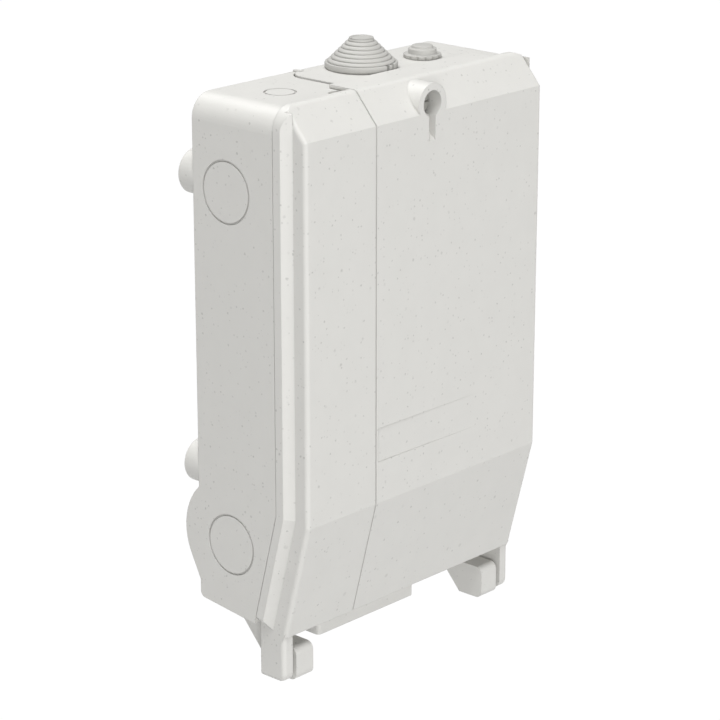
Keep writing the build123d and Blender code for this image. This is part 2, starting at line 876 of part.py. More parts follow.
with BuildPart() as cover_screw:
    with BuildSketch(head_plane):
        Circle(screw_head_radius)
    extrude(amount=screw_head_height)
    chamfer(cover_screw.edges().group_by(Axis.Y)[0], screw_head_edge)
    with BuildSketch(head_plane):
        Circle(screw_radius)
    extrude(amount=screw_tip_depth - head_depth)
    chamfer(cover_screw.edges().group_by(Axis.Y)[-1], screw_head_edge)
    with BuildSketch(head_plane.offset(screw_head_height)):
        Rectangle(2 * screw_head_radius, screw_slot_width)
    extrude(amount=-screw_slot_depth, mode=Mode.SUBTRACT)
    seal_hole_plane = Plane.YZ.offset(screw_x - screw_head_radius)
    with BuildSketch(seal_hole_plane):
        with Locations((-head_depth - screw_head_edge - screw_seal_hole_radius, screw_height)):
            Circle(screw_seal_hole_radius)
    extrude(amount=2 * screw_head_radius, mode=Mode.SUBTRACT)
    with BuildSketch(front_plane(clip_depth, screw_x, screw_height)):
        Circle(screw_radius + 1)
        Circle(screw_radius - clip_groove_depth, mode=Mode.SUBTRACT)
    extrude(amount=clip_thickness, mode=Mode.SUBTRACT)

finish(cover_screw.part, "cover_screw")

with BuildPart() as screw_washer:
    with BuildSketch(front_plane(screw_floor_depth + seating_gap, screw_x, screw_height)):
        Circle(washer_radius)
        Circle(screw_radius + washer_clearance, mode=Mode.SUBTRACT)
    extrude(amount=washer_thickness)

finish(screw_washer.part, "screw_washer")

with BuildPart() as screw_clip:
    with BuildSketch(front_plane(clip_depth, screw_x, screw_height)):
        Circle(clip_radius)
        Circle(screw_radius - clip_groove_depth, mode=Mode.SUBTRACT)
        with Locations((0, -clip_radius)):
            Rectangle(clip_mouth, 2 * clip_radius, mode=Mode.SUBTRACT)
    extrude(amount=clip_thickness)

finish(screw_clip.part, "screw_clip")

with BuildPart() as screw_insert:
    with BuildSketch(front_plane(insert_rear_depth, screw_x, screw_height)):
        Circle(insert_radius)
        Circle(screw_radius + screw_thread_clearance, mode=Mode.SUBTRACT)
    extrude(amount=insert_length)
    groove_depth = insert_rear_depth + (insert_length - insert_groove_width) / 2
    with BuildSketch(front_plane(groove_depth, screw_x, screw_height)):
        Circle(insert_radius)
        Circle(insert_radius - insert_groove_depth, mode=Mode.SUBTRACT)
    extrude(amount=insert_groove_width, mode=Mode.SUBTRACT)

finish(screw_insert.part, "screw_insert")

# Hinge pins, pressed into the brackets from outside
pin_start = knuckle_inner + knuckle_skin
pin_end = pan_half_width - ear_skin - pin_end_gap
for side, name in ((-1, "hinge_pin_left"), (1, "hinge_pin_right")):
    with BuildPart() as hinge_pin:
        with BuildSketch(pin_plane(side, pin_start)):
            Circle(pin_radius)
        extrude(amount=pin_end - pin_start)
        chamfer(hinge_pin.edges().filter_by(GeomType.CIRCLE), pin_radius / 5)
    finish(hinge_pin.part, name)

# Entry plate with a plug rim and a small lug that lies on the housing
plate_bottom = housing_top - plate_seat_depth
with BuildPart() as entry_plate:
    add(plate_block(0, plate_bottom, plate_thickness))
    add(plate_block(-plug_ledge, plate_bottom - plug_length + 1, plug_length))
    add(
        plate_block(-plug_ledge - plug_wall, plate_bottom - plug_length, plug_length),
        mode=Mode.SUBTRACT,
    )
    lug_y = plate_length / 2 - plate_depth + (plate_lug_reach - plate_lug_overlap) / 2
    with BuildSketch(Plane((plate_lug_x, lug_y, housing_top))):
        Rectangle(plate_lug_width, plate_lug_reach + plate_lug_overlap)
    extrude(amount=plate_lug_thickness)
    for x, depth, radius in (
        (large_gland_x, large_gland_depth, large_gland_bore),
        (small_gland_x, small_gland_depth, small_gland_bore),
    ):
        with BuildSketch(Plane((x, -depth, plate_bottom))):
            Circle(radius)
        extrude(amount=plate_thickness, mode=Mode.SUBTRACT)

finish(entry_plate.part, "entry_plate")

# Membrane glands
gland_foot = plate_bottom + plate_thickness
large_steps = [(large_gland_flange_radius, large_gland_flange_height)]
large_steps += ring_steps(
    large_gland_shoulder_radius,
    large_gland_neck_radius,
    large_gland_flange_height,
    large_gland_waist_height,
    large_gland_lower_rings,
)
large_steps += ring_steps(
    large_gland_waist_radius,
    large_gland_top_radius,
    large_gland_waist_height,
    large_gland_top_height,
    large_gland_upper_rings,
)
with BuildPart() as membrane_gland_large:
    add(
        stepped_cone(
            large_gland_x,
            large_gland_depth,
            gland_foot,
            large_steps,
            large_gland_bore,
            plate_thickness,
            gland_lip_height,
        )
    )
    for angle in large_gland_slot_angles:
        slot_x = large_gland_x + large_gland_flange_radius * sin(radians(angle))
        slot_y = -large_gland_depth - large_gland_flange_radius * cos(radians(angle))
        with BuildSketch(Plane((slot_x, slot_y, gland_foot))):
            Rectangle(gland_slot_width, 2 * gland_slot_depth)
        extrude(amount=large_gland_flange_height, mode=Mode.SUBTRACT)

finish(membrane_gland_large.part, "membrane_gland_large")

small_steps = [
    (small_gland_flange_radius, small_gland_flange_height),
    (small_gland_disc_radius, small_gland_disc_height),
    (small_gland_tip_radius, small_gland_height),
]
with BuildPart() as membrane_gland_small:
    add(
        stepped_cone(
            small_gland_x,
            small_gland_depth,
            gland_foot,
            small_steps,
            small_gland_bore,
            plate_thickness,
            gland_lip_height,
        )
    )
    with BuildSketch(Plane((small_gland_x, -small_gland_depth, gland_foot))):
        with PolarLocations(small_gland_flange_radius, small_gland_notches):
            Circle(small_gland_notch_radius)
    extrude(amount=small_gland_flange_height, mode=Mode.SUBTRACT)

finish(membrane_gland_small.part, "membrane_gland_small")

# Seal of the bottom collar, with two stepped cable sleeves
seal_top = collar_bottom + seal_thickness
seal_steps = ring_steps(
    seal_cone_radius, seal_cone_top_radius, 0, seal_cone_rise, seal_cone_rings
)
with BuildPart() as bottom_entry_seal:
    add(collar_block(collar_wall, collar_bottom, seal_thickness))
    for side in (-1, 1):
        x = side * seal_cone_pitch / 2
        with BuildSketch(Plane((x, -saddle_depth, collar_bottom))):
            Circle(seal_root_radius - gland_skin / 2)
        extrude(amount=seal_thickness, mode=Mode.SUBTRACT)
        add(stepped_cone(x, saddle_depth, seal_top, seal_steps, seal_root_radius, seal_thickness, 0))

finish(bottom_entry_seal.part, "bottom_entry_seal")

# Three-pole fuse base with partitions
base_width = phase_count * phase_pitch + barrier_thickness
with BuildPart() as fuse_base:
    with BuildSketch(front_plane(base_depth, phase_centre)):
        Rectangle(base_width, base_length)
    extrude(amount=base_thickness)
    with BuildSketch(front_plane(base_depth, phase_centre)):
        with GridLocations(phase_pitch, pedestal_outer + pedestal_inner, phase_count, 2):
            Rectangle(pedestal_width, pedestal_outer - pedestal_inner)
    extrude(amount=pedestal_height)
    with BuildSketch(front_plane(base_depth, phase_centre)):
        with GridLocations(phase_pitch, 0, phase_count + 1, 1):
            Rectangle(barrier_thickness, base_length)
    extrude(amount=barrier_height)
    with BuildSketch(front_plane(base_depth, phase_centre)):
        with GridLocations(base_screw_spacing, 2 * base_screw_offset, 2, 2):
            Circle(base_screw_radius)
    extrude(amount=base_thickness, mode=Mode.SUBTRACT)

finish(fuse_base.part, "fuse_base")

# Jaw contacts, clamps and fuse-links of the three phases
knife_depth = contact_depth + contact_thickness + knife_lift
fuse_middle_depth = knife_depth + knife_width / 2
fuse_end = fuse_length / 2
strip_front = contact_depth + contact_thickness

for number, x in enumerate(phase_positions, start=1):
    for side, position in ((1, "upper"), (-1, "lower")):
        with BuildPart() as jaw_contact:
            strip_middle = side * (pedestal_inner + contact_end) / 2
            with BuildSketch(front_plane(contact_depth, x, strip_middle)):
                Rectangle(contact_width, contact_end - pedestal_inner)
            extrude(amount=contact_thickness)
            jaw_plane = Plane((x, 0, side * (jaw_start + jaw_length / 2)))
            for leaf in (-1, 1):
                near = leaf * knife_thickness / 2
                far = leaf * (knife_thickness / 2 + jaw_leaf)
                flare = leaf * jaw_flare
                tip = strip_front + jaw_height
                knee = tip - 2 * jaw_flare
                with BuildSketch(jaw_plane):
                    with BuildLine():
                        Polyline(
                            (near, -strip_front),
                            (near, -knee),
                            (near + flare, -tip),
                            (far + flare, -tip),
                            (far, -knee),
                            (far, -strip_front),
                            close=True,
                        )
                    make_face()
                extrude(amount=jaw_length / 2, both=True)
        finish(jaw_contact.part, f"jaw_contact_{number}_{position}")

        with BuildPart() as terminal_clamp:
            add(clamp_frame(x, side * clamp_middle, contact_depth))
        finish(terminal_clamp.part, f"terminal_clamp_{number}_{position}")

        with BuildPart() as fuse_cap:
            cap_plane = Plane((x, -fuse_middle_depth, side * fuse_end), x_dir=(1, 0, 0), z_dir=(0, 0, side))
            cap_width = fuse_width - 2 * fuse_cap_margin
            cap_length = fuse_thickness - 2 * fuse_cap_margin
            with BuildSketch(cap_plane):
                RectangleRounded(cap_width, cap_length, fuse_edge_radius - fuse_cap_margin)
                lug_root = -side * cap_length / 2
                neck_middle = lug_root - side * lug_neck_height / 2
                head_middle = lug_root - side * (lug_neck_height + lug_head_height / 2)
                with Locations((0, neck_middle)):
                    Rectangle(lug_neck_width, lug_neck_height)
                with Locations((0, head_middle)):
                    Rectangle(lug_head_width, lug_head_height)
            extrude(amount=fuse_cap_thickness)
            with BuildSketch(cap_plane.offset(fuse_cap_thickness)):
                Rectangle(knife_thickness, knife_width)
            extrude(amount=knife_length)
        finish(fuse_cap.part, f"fuse_cap_{number}_{position}")

    with BuildPart() as fuse_body:
        with BuildSketch(Plane((x, -fuse_middle_depth, -fuse_end))):
            RectangleRounded(fuse_width, fuse_thickness, fuse_edge_radius)
        extrude(amount=fuse_length)
    finish(fuse_body.part, f"fuse_body_{number}")

# Neutral and earth bar with its clamps
with BuildPart() as pen_bar:
    with BuildSketch(front_plane(bar_depth, bar_x)):
        Rectangle(bar_width, bar_length)
        with GridLocations(0, bar_post_spacing, 1, 2):
            Circle(base_screw_radius, mode=Mode.SUBTRACT)
    extrude(amount=bar_thickness)

finish(pen_bar.part, "pen_bar")

bar_clamp_heights = [(index - 1) * bar_clamp_pitch for index in range(bar_clamp_count)]
for number, height in enumerate(bar_clamp_heights, start=1):
    with BuildPart() as pen_clamp:
        add(clamp_frame(bar_x, height, bar_depth))
    finish(pen_clamp.part, f"pen_clamp_{number}")

# Cable saddle over the moulded cradle
with BuildPart() as cable_saddle:
    with BuildSketch(Plane((0, -saddle_depth, saddle_height - saddle_width / 2))):
        Circle(saddle_radius + saddle_thickness)
        with Locations((0, -saddle_thickness / 2)):
            Rectangle(2 * saddle_foot_end, saddle_thickness)
        with Locations((0, saddle_radius)):
            Rectangle(2 * saddle_foot_end, 2 * saddle_radius, mode=Mode.SUBTRACT)
        Circle(saddle_radius, mode=Mode.SUBTRACT)
    extrude(amount=saddle_width)
    with BuildSketch(front_plane(saddle_depth, 0, saddle_height)):
        with GridLocations(2 * saddle_screw_x, 0, 2, 1):
            Circle(base_screw_radius)
    extrude(amount=saddle_thickness, mode=Mode.SUBTRACT)

finish(cable_saddle.part, "cable_saddle")

# Identical screws, each kind as one group
with BuildPart() as clamp_screws:
    for x in phase_positions:
        for side in (-1, 1):
            add(clamp_screw(x, side * clamp_middle, contact_depth))
    for height in bar_clamp_heights:
        add(clamp_screw(bar_x, height, bar_depth))

finish(clamp_screws.part, "clamp_screws")

with BuildPart() as fixing_screws:
    for side in (-1, 1):
        for phase_side in (-1, 1):
            x = phase_centre + phase_side * base_screw_spacing / 2
            add(fixing_screw(base_depth + base_thickness, x, side * base_screw_offset))
        add(fixing_screw(bar_depth + bar_thickness, bar_x, side * bar_post_spacing / 2))
        add(fixing_screw(saddle_depth + saddle_thickness, side * saddle_screw_x, saddle_height))

finish(fixing_screws.part, "fixing_screws")
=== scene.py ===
"""Looks of the wall-hung service connection box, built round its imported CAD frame."""

import json
import logging
import math
from dataclasses import dataclass
from enum import Enum

import bmesh
import bpy
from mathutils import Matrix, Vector

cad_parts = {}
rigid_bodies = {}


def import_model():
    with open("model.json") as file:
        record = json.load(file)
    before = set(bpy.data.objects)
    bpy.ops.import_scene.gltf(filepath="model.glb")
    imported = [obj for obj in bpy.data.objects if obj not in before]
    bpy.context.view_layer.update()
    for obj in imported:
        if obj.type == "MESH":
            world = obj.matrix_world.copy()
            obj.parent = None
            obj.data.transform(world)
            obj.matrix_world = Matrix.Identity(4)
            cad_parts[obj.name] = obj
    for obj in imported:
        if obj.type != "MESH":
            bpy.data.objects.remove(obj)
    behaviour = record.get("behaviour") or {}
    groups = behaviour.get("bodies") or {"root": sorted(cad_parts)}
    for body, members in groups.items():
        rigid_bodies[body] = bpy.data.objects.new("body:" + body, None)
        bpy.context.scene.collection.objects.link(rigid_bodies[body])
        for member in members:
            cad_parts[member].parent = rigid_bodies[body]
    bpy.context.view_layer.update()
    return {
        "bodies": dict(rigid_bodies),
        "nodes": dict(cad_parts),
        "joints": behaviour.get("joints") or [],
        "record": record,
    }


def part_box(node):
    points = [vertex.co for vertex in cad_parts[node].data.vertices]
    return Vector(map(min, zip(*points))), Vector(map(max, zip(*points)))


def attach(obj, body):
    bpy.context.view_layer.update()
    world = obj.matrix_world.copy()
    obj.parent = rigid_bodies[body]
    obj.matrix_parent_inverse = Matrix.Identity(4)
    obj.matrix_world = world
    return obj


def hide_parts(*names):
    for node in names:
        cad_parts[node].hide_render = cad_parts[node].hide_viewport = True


LOG = logging.getLogger("connection_box")
Socket = bpy.types.NodeSocket
Colour = tuple[float, float, float]
Point = tuple[float, float]
Place = tuple[float, float, float]

MM = 0.001
WELD_DISTANCE = 1e-6
SHARP_ANGLE = 38.0
FACING_FRONT = (math.pi / 2, 0.0, 0.0)
NODE_SPACING = 180
MIX_INPUTS = (0, 6, 7)
MIX_RESULT = 2

# Flecks: for each size, its cells against the given number and its mean radius in cells
FLECK_SIZES = ((1.0, 0.2), (2.6, 0.26))
FLECK_EDGE = 7.0
WARP_SCALE = 900.0
WARP_REACH = 0.0012
PATCH_SCALE = 70.0
BROAD_SCALE = 45.0
BUMP_REACH = 0.0002
SHELTER_SAMPLES = 8
BEVEL_SAMPLES = 6

# Outlines: the largest share of a side that a rounding takes, and its steps
ROUNDING_SHARE = 0.45
ROUNDING_STEPS = 3

# Threads: rows in a turn, columns round the axis, and rows that the two ends take
THREAD_ROWS = 8.0
THREAD_COLUMNS = 24.0
END_ROWS = 3.0
TOOTH_COLUMNS = 4.0
SOCKET_SIDES = 6
# Rows of a screw's head: share of the radius, edge inset and drop as shares of the height, knurl
HEAD_ROWS = (
    (0.0, 0.0, 0.0, 0.0),
    (1.0, 0.12, 0.0, 0.0),
    (1.0, 0.0, 0.12, 0.0),
    (1.0, 0.0, 0.2, 1.0),
    (1.0, 0.0, 0.8, 1.0),
    (1.0, 0.0, 0.88, 0.0),
    (1.0, 0.05, 1.0, 0.0),
    (0.0, 0.0, 1.0, 0.0),
)


def srgb(red: int, green: int, blue: int) -> Colour:
    """Linear colour of an sRGB triple.

    Args:
        red: red channel, 0 to 255.
        green: green channel, 0 to 255.
        blue: blue channel, 0 to 255.

    Returns:
        The three linear channels, 0 to 1.
    """
    channels = []
    for value in (red, green, blue):
        share = value / 255
        channels.append(share / 12.92 if share <= 0.04045 else ((share + 0.055) / 1.055) ** 2.4)
    return channels[0], channels[1], channels[2]


class Grain(Enum):
    """How the grain of a finish runs; the value scales its coordinates along X."""

    EVEN = 1.0
    DRAWN = 0.06


class Body(Enum):
    """The bodies that added pieces ride on."""

    HOUSING = "housing"
    SCREW = "screw"


class Tree:
    """Short calls for adding and joining the nodes of one tree."""

    def __init__(self, tree: bpy.types.NodeTree) -> None:
        """Starts on an empty tree.

        Args:
            tree: the node tree to fill.
        """
        self.tree = tree
        self.tree.nodes.clear()
        self.column = 0

    def node(self, kind: str, **values: object) -> bpy.types.Node:
        """Adds a node and sets its properties and inputs.

        Args:
            kind: the node's type name.
            **values: properties by name, then sockets or plain values by the input's name,
                with _ for spaces.

        Returns:
            The new node.
        """
        node = self.tree.nodes.new(kind)
        node.location = (self.column * NODE_SPACING, 0)
        self.column += 1
        for key, value in values.items():
            if hasattr(node, key):
                setattr(node, key, value)
            else:
                self.join(value, node.inputs[key.replace("_", " ")])
        return node

    def join(self, value: object, end: Socket) -> None:
        """Links an output to an input, or sets the input to a plain value.

        Args:
            value: the output or the value.
            end: the input.
        """
        if isinstance(value, Socket):
            self.tree.links.new(value, end)
        else:
            end.default_value = value

    def fill(self, kind: str, *values: object, **options: object) -> Socket:
        """Adds a node and fills its inputs in their order.

        Args:
            kind: the node's type name.
            *values: a socket or a plain value for each of its first inputs.
            **options: its properties and other inputs by name.

        Returns:
            The node's first output.
        """
        node = self.node(kind, **options)
        for index, value in enumerate(values):
            self.join(value, node.inputs[index])
        return node.outputs[0]

    def math(self, operation: str, *values: object, clamp: bool = False) -> Socket:
        """Adds a Math node; clamp keeps its result between 0 and 1."""
        return self.fill("ShaderNodeMath", *values, operation=operation, use_clamp=clamp)

    def times(self, first: object, second: object) -> Socket:
        """Multiplies two sockets or numbers."""
        return self.math("MULTIPLY", first, second)

    def vector(self, operation: str, *values: object, **options: object) -> Socket:
        """Adds a Vector Math node."""
        return self.fill("ShaderNodeVectorMath", *values, operation=operation, **options)

    def live(self, sockets: object, name: str) -> Socket:
        """Finds the socket of a name that the node's present options use."""
        return next(socket for socket in sockets if socket.name == name and socket.enabled)

    def mix(self, share: object, first: object, second: object) -> Socket:
        """Adds a colour Mix node.

        Args:
            share: how much of the second colour, a socket or a number.
            first: a socket or a colour with its alpha.
            second: a socket or a colour with its alpha.

        Returns:
            The mixed colour's socket.
        """
        node = self.node("ShaderNodeMix", data_type="RGBA")
        for index, value in zip(MIX_INPUTS, (share, first, second)):
            self.join(value, node.inputs[index])
        return node.outputs[MIX_RESULT]


def new_group(name: str, inputs: dict[str, object], outputs: dict[str, str]) -> bpy.types.NodeTree:
    """Makes an empty shader group with named sockets.

    Args:
        name: the group's name.
        inputs: default of each input, a number or a colour with its alpha.
        outputs: socket type of each output.

    Returns:
        The group's tree.
    """
    group = bpy.data.node_groups.new(name, "ShaderNodeTree")
    for key, default in inputs.items():
        kind = "NodeSocketColor" if isinstance(default, tuple) else "NodeSocketFloat"
        socket = group.interface.new_socket(name=key, in_out="INPUT", socket_type=kind)
        socket.default_value = default
    for key, kind in outputs.items():
        group.interface.new_socket(name=key, in_out="OUTPUT", socket_type=kind)
    return group


class Effects:
    """Shader groups that several finishes share."""

    def __init__(self) -> None:
        """Builds each group once."""
        self.flecks = self.build_flecks()
        self.grain = self.build_grain()

    def build_flecks(self) -> bpy.types.NodeTree:
        """Builds the glass-fibre flecks and the faint mottling of a moulding.

        Returns:
            The group.
        """
        group = new_group(
            "moulding_flecks",
            {
                "Base": (0.6, 0.6, 0.6, 1.0),
                "Fleck": (0.3, 0.3, 0.3, 1.0),
                "Cells": 300.0,
                "Share": 0.4,
                "Strength": 0.5,
                "Mottling": 0.05,
            },
            {"Color": "NodeSocketColor"},
        )
        tree = Tree(group)
        given = tree.node("NodeGroupInput").outputs
        result = tree.node("NodeGroupOutput")
        place = tree.node("ShaderNodeTexCoord").outputs["Object"]
        warp = tree.node("ShaderNodeTexNoise", Vector=place, Scale=WARP_SCALE, Detail=1.0)
        push = tree.vector("SCALE", warp.outputs["Color"], Scale=WARP_REACH)
        moved = tree.vector("ADD", place, push)
        masks = []
        for factor, radius in FLECK_SIZES:
            scale = tree.times(given["Cells"], factor)
            cells = tree.node("ShaderNodeTexVoronoi", feature="F1", Vector=moved, Scale=scale)
            apart = tree.node("ShaderNodeSeparateColor", Color=cells.outputs["Color"]).outputs
            chosen = tree.math("LESS_THAN", apart[0], given["Share"])
            size = tree.math("MULTIPLY_ADD", apart[1], radius, radius * 0.5)
            edge = tree.math("SUBTRACT", size, cells.outputs["Distance"])
            soft = tree.math("MULTIPLY", edge, FLECK_EDGE, clamp=True)
            masks.append(tree.times(tree.times(soft, apart[2]), chosen))
        patches = tree.node("ShaderNodeTexNoise", Vector=place, Scale=PATCH_SCALE, Detail=3.0)
        swing = tree.math("SUBTRACT", patches.outputs[0], 0.5)
        level = tree.math("ADD", tree.times(swing, given["Mottling"]), 1.0)
        scaled = tree.vector("SCALE", given["Base"], Scale=level)
        share = tree.times(tree.math("MAXIMUM", *masks), given["Strength"])
        tree.join(tree.mix(share, scaled, given["Fleck"]), result.inputs["Color"])
        return group

    def build_grain(self) -> bpy.types.NodeTree:
        """Builds the fine height and roughness changes of a surface.

        Returns:
            The group.
        """
        group = new_group(
            "surface_grain",
            {"Scale": 800.0, "Stretch": 1.0, "Roughness": 0.5, "Swing": 0.1},
            {"Height": "NodeSocketFloat", "Roughness": "NodeSocketFloat"},
        )
        tree = Tree(group)
        given = tree.node("NodeGroupInput").outputs
        result = tree.node("NodeGroupOutput")
        place = tree.node("ShaderNodeTexCoord").outputs["Object"]
        shape = tree.fill("ShaderNodeCombineXYZ", given["Stretch"], 1.0, 1.0)
        where = tree.vector("MULTIPLY", place, shape)
        noise = tree.node("ShaderNodeTexNoise", Vector=where, Scale=given["Scale"], Detail=3.0)
        broad = tree.node("ShaderNodeTexNoise", Vector=where, Scale=BROAD_SCALE, Detail=2.0)
        swing = tree.math("SUBTRACT", broad.outputs[0], 0.5)
        swing = tree.times(swing, given["Swing"])
        rough = tree.math("ADD", swing, given["Roughness"])
        tree.join(rough, result.inputs["Roughness"])
        tree.join(noise.outputs[0], result.inputs["Height"])
        return group


def new_object(name: str, data: bpy.types.ID) -> bpy.types.Object:
    """Makes an object and links it to the scene.

    Args:
        name: the object's name.
        data: its mesh, lamp or camera data.

    Returns:
        The object, at the origin.
    """
    result = bpy.data.objects.new(name, data)
    bpy.context.scene.collection.objects.link(result)
    return result


class Form(Tree):
    """A Geometry Nodes tree with named inputs for its sizes."""

    def __init__(self, name: str) -> None:
        """Starts a tree with a geometry input and output.

        Args:
            name: the tree's name.
        """
        super().__init__(bpy.data.node_groups.new(name, "GeometryNodeTree"))
        for way in ("INPUT", "OUTPUT"):
            self.tree.interface.new_socket(
                name="Geometry", in_out=way, socket_type="NodeSocketGeometry"
            )
        self.given = self.node("NodeGroupInput")
        self.identifiers: dict[str, str] = {}

    def size(self, name: str, kind: str, default: object = None) -> Socket:
        """Adds a named input.

        Args:
            name: the input's name.
            kind: its socket type.
            default: its default value, if it has one.

        Returns:
            The input's socket inside the tree.
        """
        socket = self.tree.interface.new_socket(name=name, in_out="INPUT", socket_type=kind)
        if default is not None:
            socket.default_value = default
        self.identifiers[name] = socket.identifier
        return self.given.outputs[name]

    def floats(self, **defaults: float) -> list[Socket]:
        """Adds a named number for each keyword.

        Args:
            **defaults: default of each input by name, with _ for spaces.

        Returns:
            The inputs' sockets, in the same order.
        """
        return [
            self.size(name.replace("_", " "), "NodeSocketFloat", value)
            for name, value in defaults.items()
        ]

    def place(self, x: object, y: object, z: object) -> Socket:
        """Combines three numbers or sockets into a vector."""
        return self.fill("ShaderNodeCombineXYZ", x, y, z)

    def sweep_grid(self, columns: object, rows: Socket) -> tuple[bpy.types.Node, Socket, Socket]:
        """Adds a grid that is to be wound round an axis.

        Args:
            columns: points round the axis, a socket or a number.
            rows: points along the outline, a socket.

        Returns:
            The grid's node, the row's number and the angle of each point.
        """
        around = self.math("ADD", columns, 1.0)
        grid = self.node("GeometryNodeMeshGrid", Vertices_X=around, Vertices_Y=rows)
        index = self.node("GeometryNodeInputIndex").outputs[0]
        row = self.math("FLOORED_MODULO", index, rows)
        column = self.math("FLOOR", self.math("DIVIDE", self.math("ADD", index, 0.5), rows))
        angle = self.times(self.math("DIVIDE", column, columns), math.tau)
        return grid, row, angle

    def wind(self, grid: bpy.types.Node, radius: Socket, angle: Socket, height: Socket) -> Socket:
        """Winds a grid round the axis and closes its seam and poles.

        Args:
            grid: the grid's node.
            radius: the radius of each point.
            angle: the angle of each point.
            height: the height of each point.

        Returns:
            The closed surface.
        """
        across = self.times(radius, self.math("COSINE", angle))
        along = self.times(radius, self.math("SINE", angle))
        moved = self.node("GeometryNodeSetPosition", Geometry=grid.outputs["Mesh"])
        self.join(self.place(across, along, height), moved.inputs["Position"])
        surface = moved.outputs[0]
        return self.fill("GeometryNodeMergeByDistance", surface, Distance=WELD_DISTANCE)

    def ripple(self, angle: Socket, count: Socket) -> Socket:
        """Adds a wave round the axis that runs from 0 to 1.

        Args:
            angle: the angle of each point.
            count: how many crests there are.

        Returns:
            The wave's height at each point.
        """
        wave = self.math("COSINE", self.times(angle, count))
        return self.times(self.math("ADD", wave, 1.0), 0.5)

    def move(self, geometry: Socket, offset: Socket) -> Socket:
        """Moves a geometry by a vector."""
        return self.fill("GeometryNodeTransform", geometry, Translation=offset)

    def cut(self, body: Socket, cutter: Socket) -> Socket:
        """Takes one closed geometry out of another.

        Args:
            body: the geometry that is cut.
            cutter: what is taken out.

        Returns:
            What is left.
        """
        left = self.node("GeometryNodeMeshBoolean", operation="DIFFERENCE", solver="EXACT")
        self.join(body, left.inputs["Mesh 1"])
        self.join(cutter, left.inputs["Mesh 2"])
        return left.outputs[0]

    def copy_onto(self, points: Socket, instance: Socket, turn: object) -> Socket:
        """Lays a copy of a geometry at each point.

        Args:
            points: the points.
            instance: the geometry.
            turn: its angles round the three axes, a socket or three numbers.

        Returns:
            The copies.
        """
        rotation = self.fill("FunctionNodeEulerToRotation", turn)
        copies = self.node("GeometryNodeInstanceOnPoints", Points=points, Instance=instance)
        self.join(rotation, copies.inputs["Rotation"])
        return copies.outputs[0]

    def close(self, geometry: Socket) -> None:
        """Ends the tree in Realize Instances and Set Material.

        Args:
            geometry: the finished geometry.
        """
        real = self.fill("GeometryNodeRealizeInstances", geometry)
        material = self.size("Material", "NodeSocketMaterial")
        dressed = self.fill("GeometryNodeSetMaterial", real, Material=material)
        self.join(dressed, self.node("NodeGroupOutput").inputs[0])

    def make(
        self,
        name: str,
        mesh: bpy.types.Mesh,
        material: bpy.types.Material,
        values: dict[str, object],
    ) -> bpy.types.Object:
        """Runs the tree on a mesh and keeps the result as a plain piece.

        Args:
            name: the piece's name.
            mesh: what the tree starts from.
            material: the piece's finish.
            values: the sizes by input name.

        Returns:
            The finished piece, at the origin.
        """
        start = new_object(f"{name}_start", mesh)
        modifier = start.modifiers.new("form", "NODES")
        modifier.node_group = self.tree
        for key, value in values.items():
            modifier[self.identifiers[key]] = value
        modifier[self.identifiers["Material"]] = material
        graph = bpy.context.evaluated_depsgraph_get()
        result = bpy.data.meshes.new_from_object(start.evaluated_get(graph))
        start.modifiers.remove(modifier)
        bpy.data.objects.remove(start)
        return new_piece(name, result)


def new_piece(name: str, mesh: bpy.types.Mesh) -> bpy.types.Object:
    """Turns a mesh's faces outwards, shades it and links its object.

    Args:
        name: the piece's name.
        mesh: its mesh.

    Returns:
        The piece, at the origin.
    """
    work = bmesh.new()
    work.from_mesh(mesh)
    bmesh.ops.recalc_face_normals(work, faces=work.faces)
    work.to_mesh(mesh)
    work.free()
    mesh.name = name
    mesh.shade_smooth()
    mesh.set_sharp_from_angle(angle=math.radians(SHARP_ANGLE))
    return new_object(name, mesh)


def point_mesh(name: str, points: list[Place]) -> bpy.types.Mesh:
    """Makes a mesh of bare points.

    Args:
        name: the mesh's name.
        points: the points, in metres.

    Returns:
        The mesh.
    """
    mesh = bpy.data.meshes.new(name)
    mesh.from_pydata(points, [], [])
    return mesh


def soften(outline: list[Point], radius: float) -> list[Point]:
    """Rounds the corners of an outline that isn't closed.

    Args:
        outline: (radius, height) pairs, in millimetres.
        radius: how far from each corner the rounding starts, in millimetres.

    Returns:
        The outline with rounded corners.
    """
    result = [outline[0]]
    for before, corner, after in zip(outline, outline[1:], outline[2:]):
        ends = []
        for other in (before, after):
            run = math.dist(other, corner)
            share = min(radius, ROUNDING_SHARE * run) / run
            ends.append(tuple(c + (o - c) * share for c, o in zip(corner, other)))
        spots = (ends[0], corner, ends[1])
        for step in range(ROUNDING_STEPS + 1):
            t = step / ROUNDING_STEPS
            weights = ((1 - t) ** 2, 2 * t * (1 - t), t**2)
            result.append(
                tuple(sum(w * spot[axis] for w, spot in zip(weights, spots)) for axis in (0, 1))
            )
    result.append(outline[-1])
    return result


def islands(node: bpy.types.Object) -> list[tuple[Vector, Vector]]:
    """Finds the separate solids of a CAD node.

    Args:
        node: the node's object.

    Returns:
        The lowest and highest corner of each solid.
    """
    work = bmesh.new()
    work.from_mesh(node.data)
    bmesh.ops.remove_doubles(work, verts=work.verts, dist=WELD_DISTANCE)
    waiting = set(work.verts)
    boxes = []
    while waiting:
        front = [waiting.pop()]
        group = list(front)
        while front:
            vertex = front.pop()
            for edge in vertex.link_edges:
                other = edge.other_vert(vertex)
                if other in waiting:
                    waiting.discard(other)
                    front.append(other)
                    group.append(other)
        low = Vector([min(v.co[axis] for v in group) for axis in range(3)])
        high = Vector([max(v.co[axis] for v in group) for axis in range(3)])
        boxes.append((low, high))
    work.free()
    boxes.sort(key=lambda pair: tuple(round(value, 5) for value in pair[0]))
    return boxes


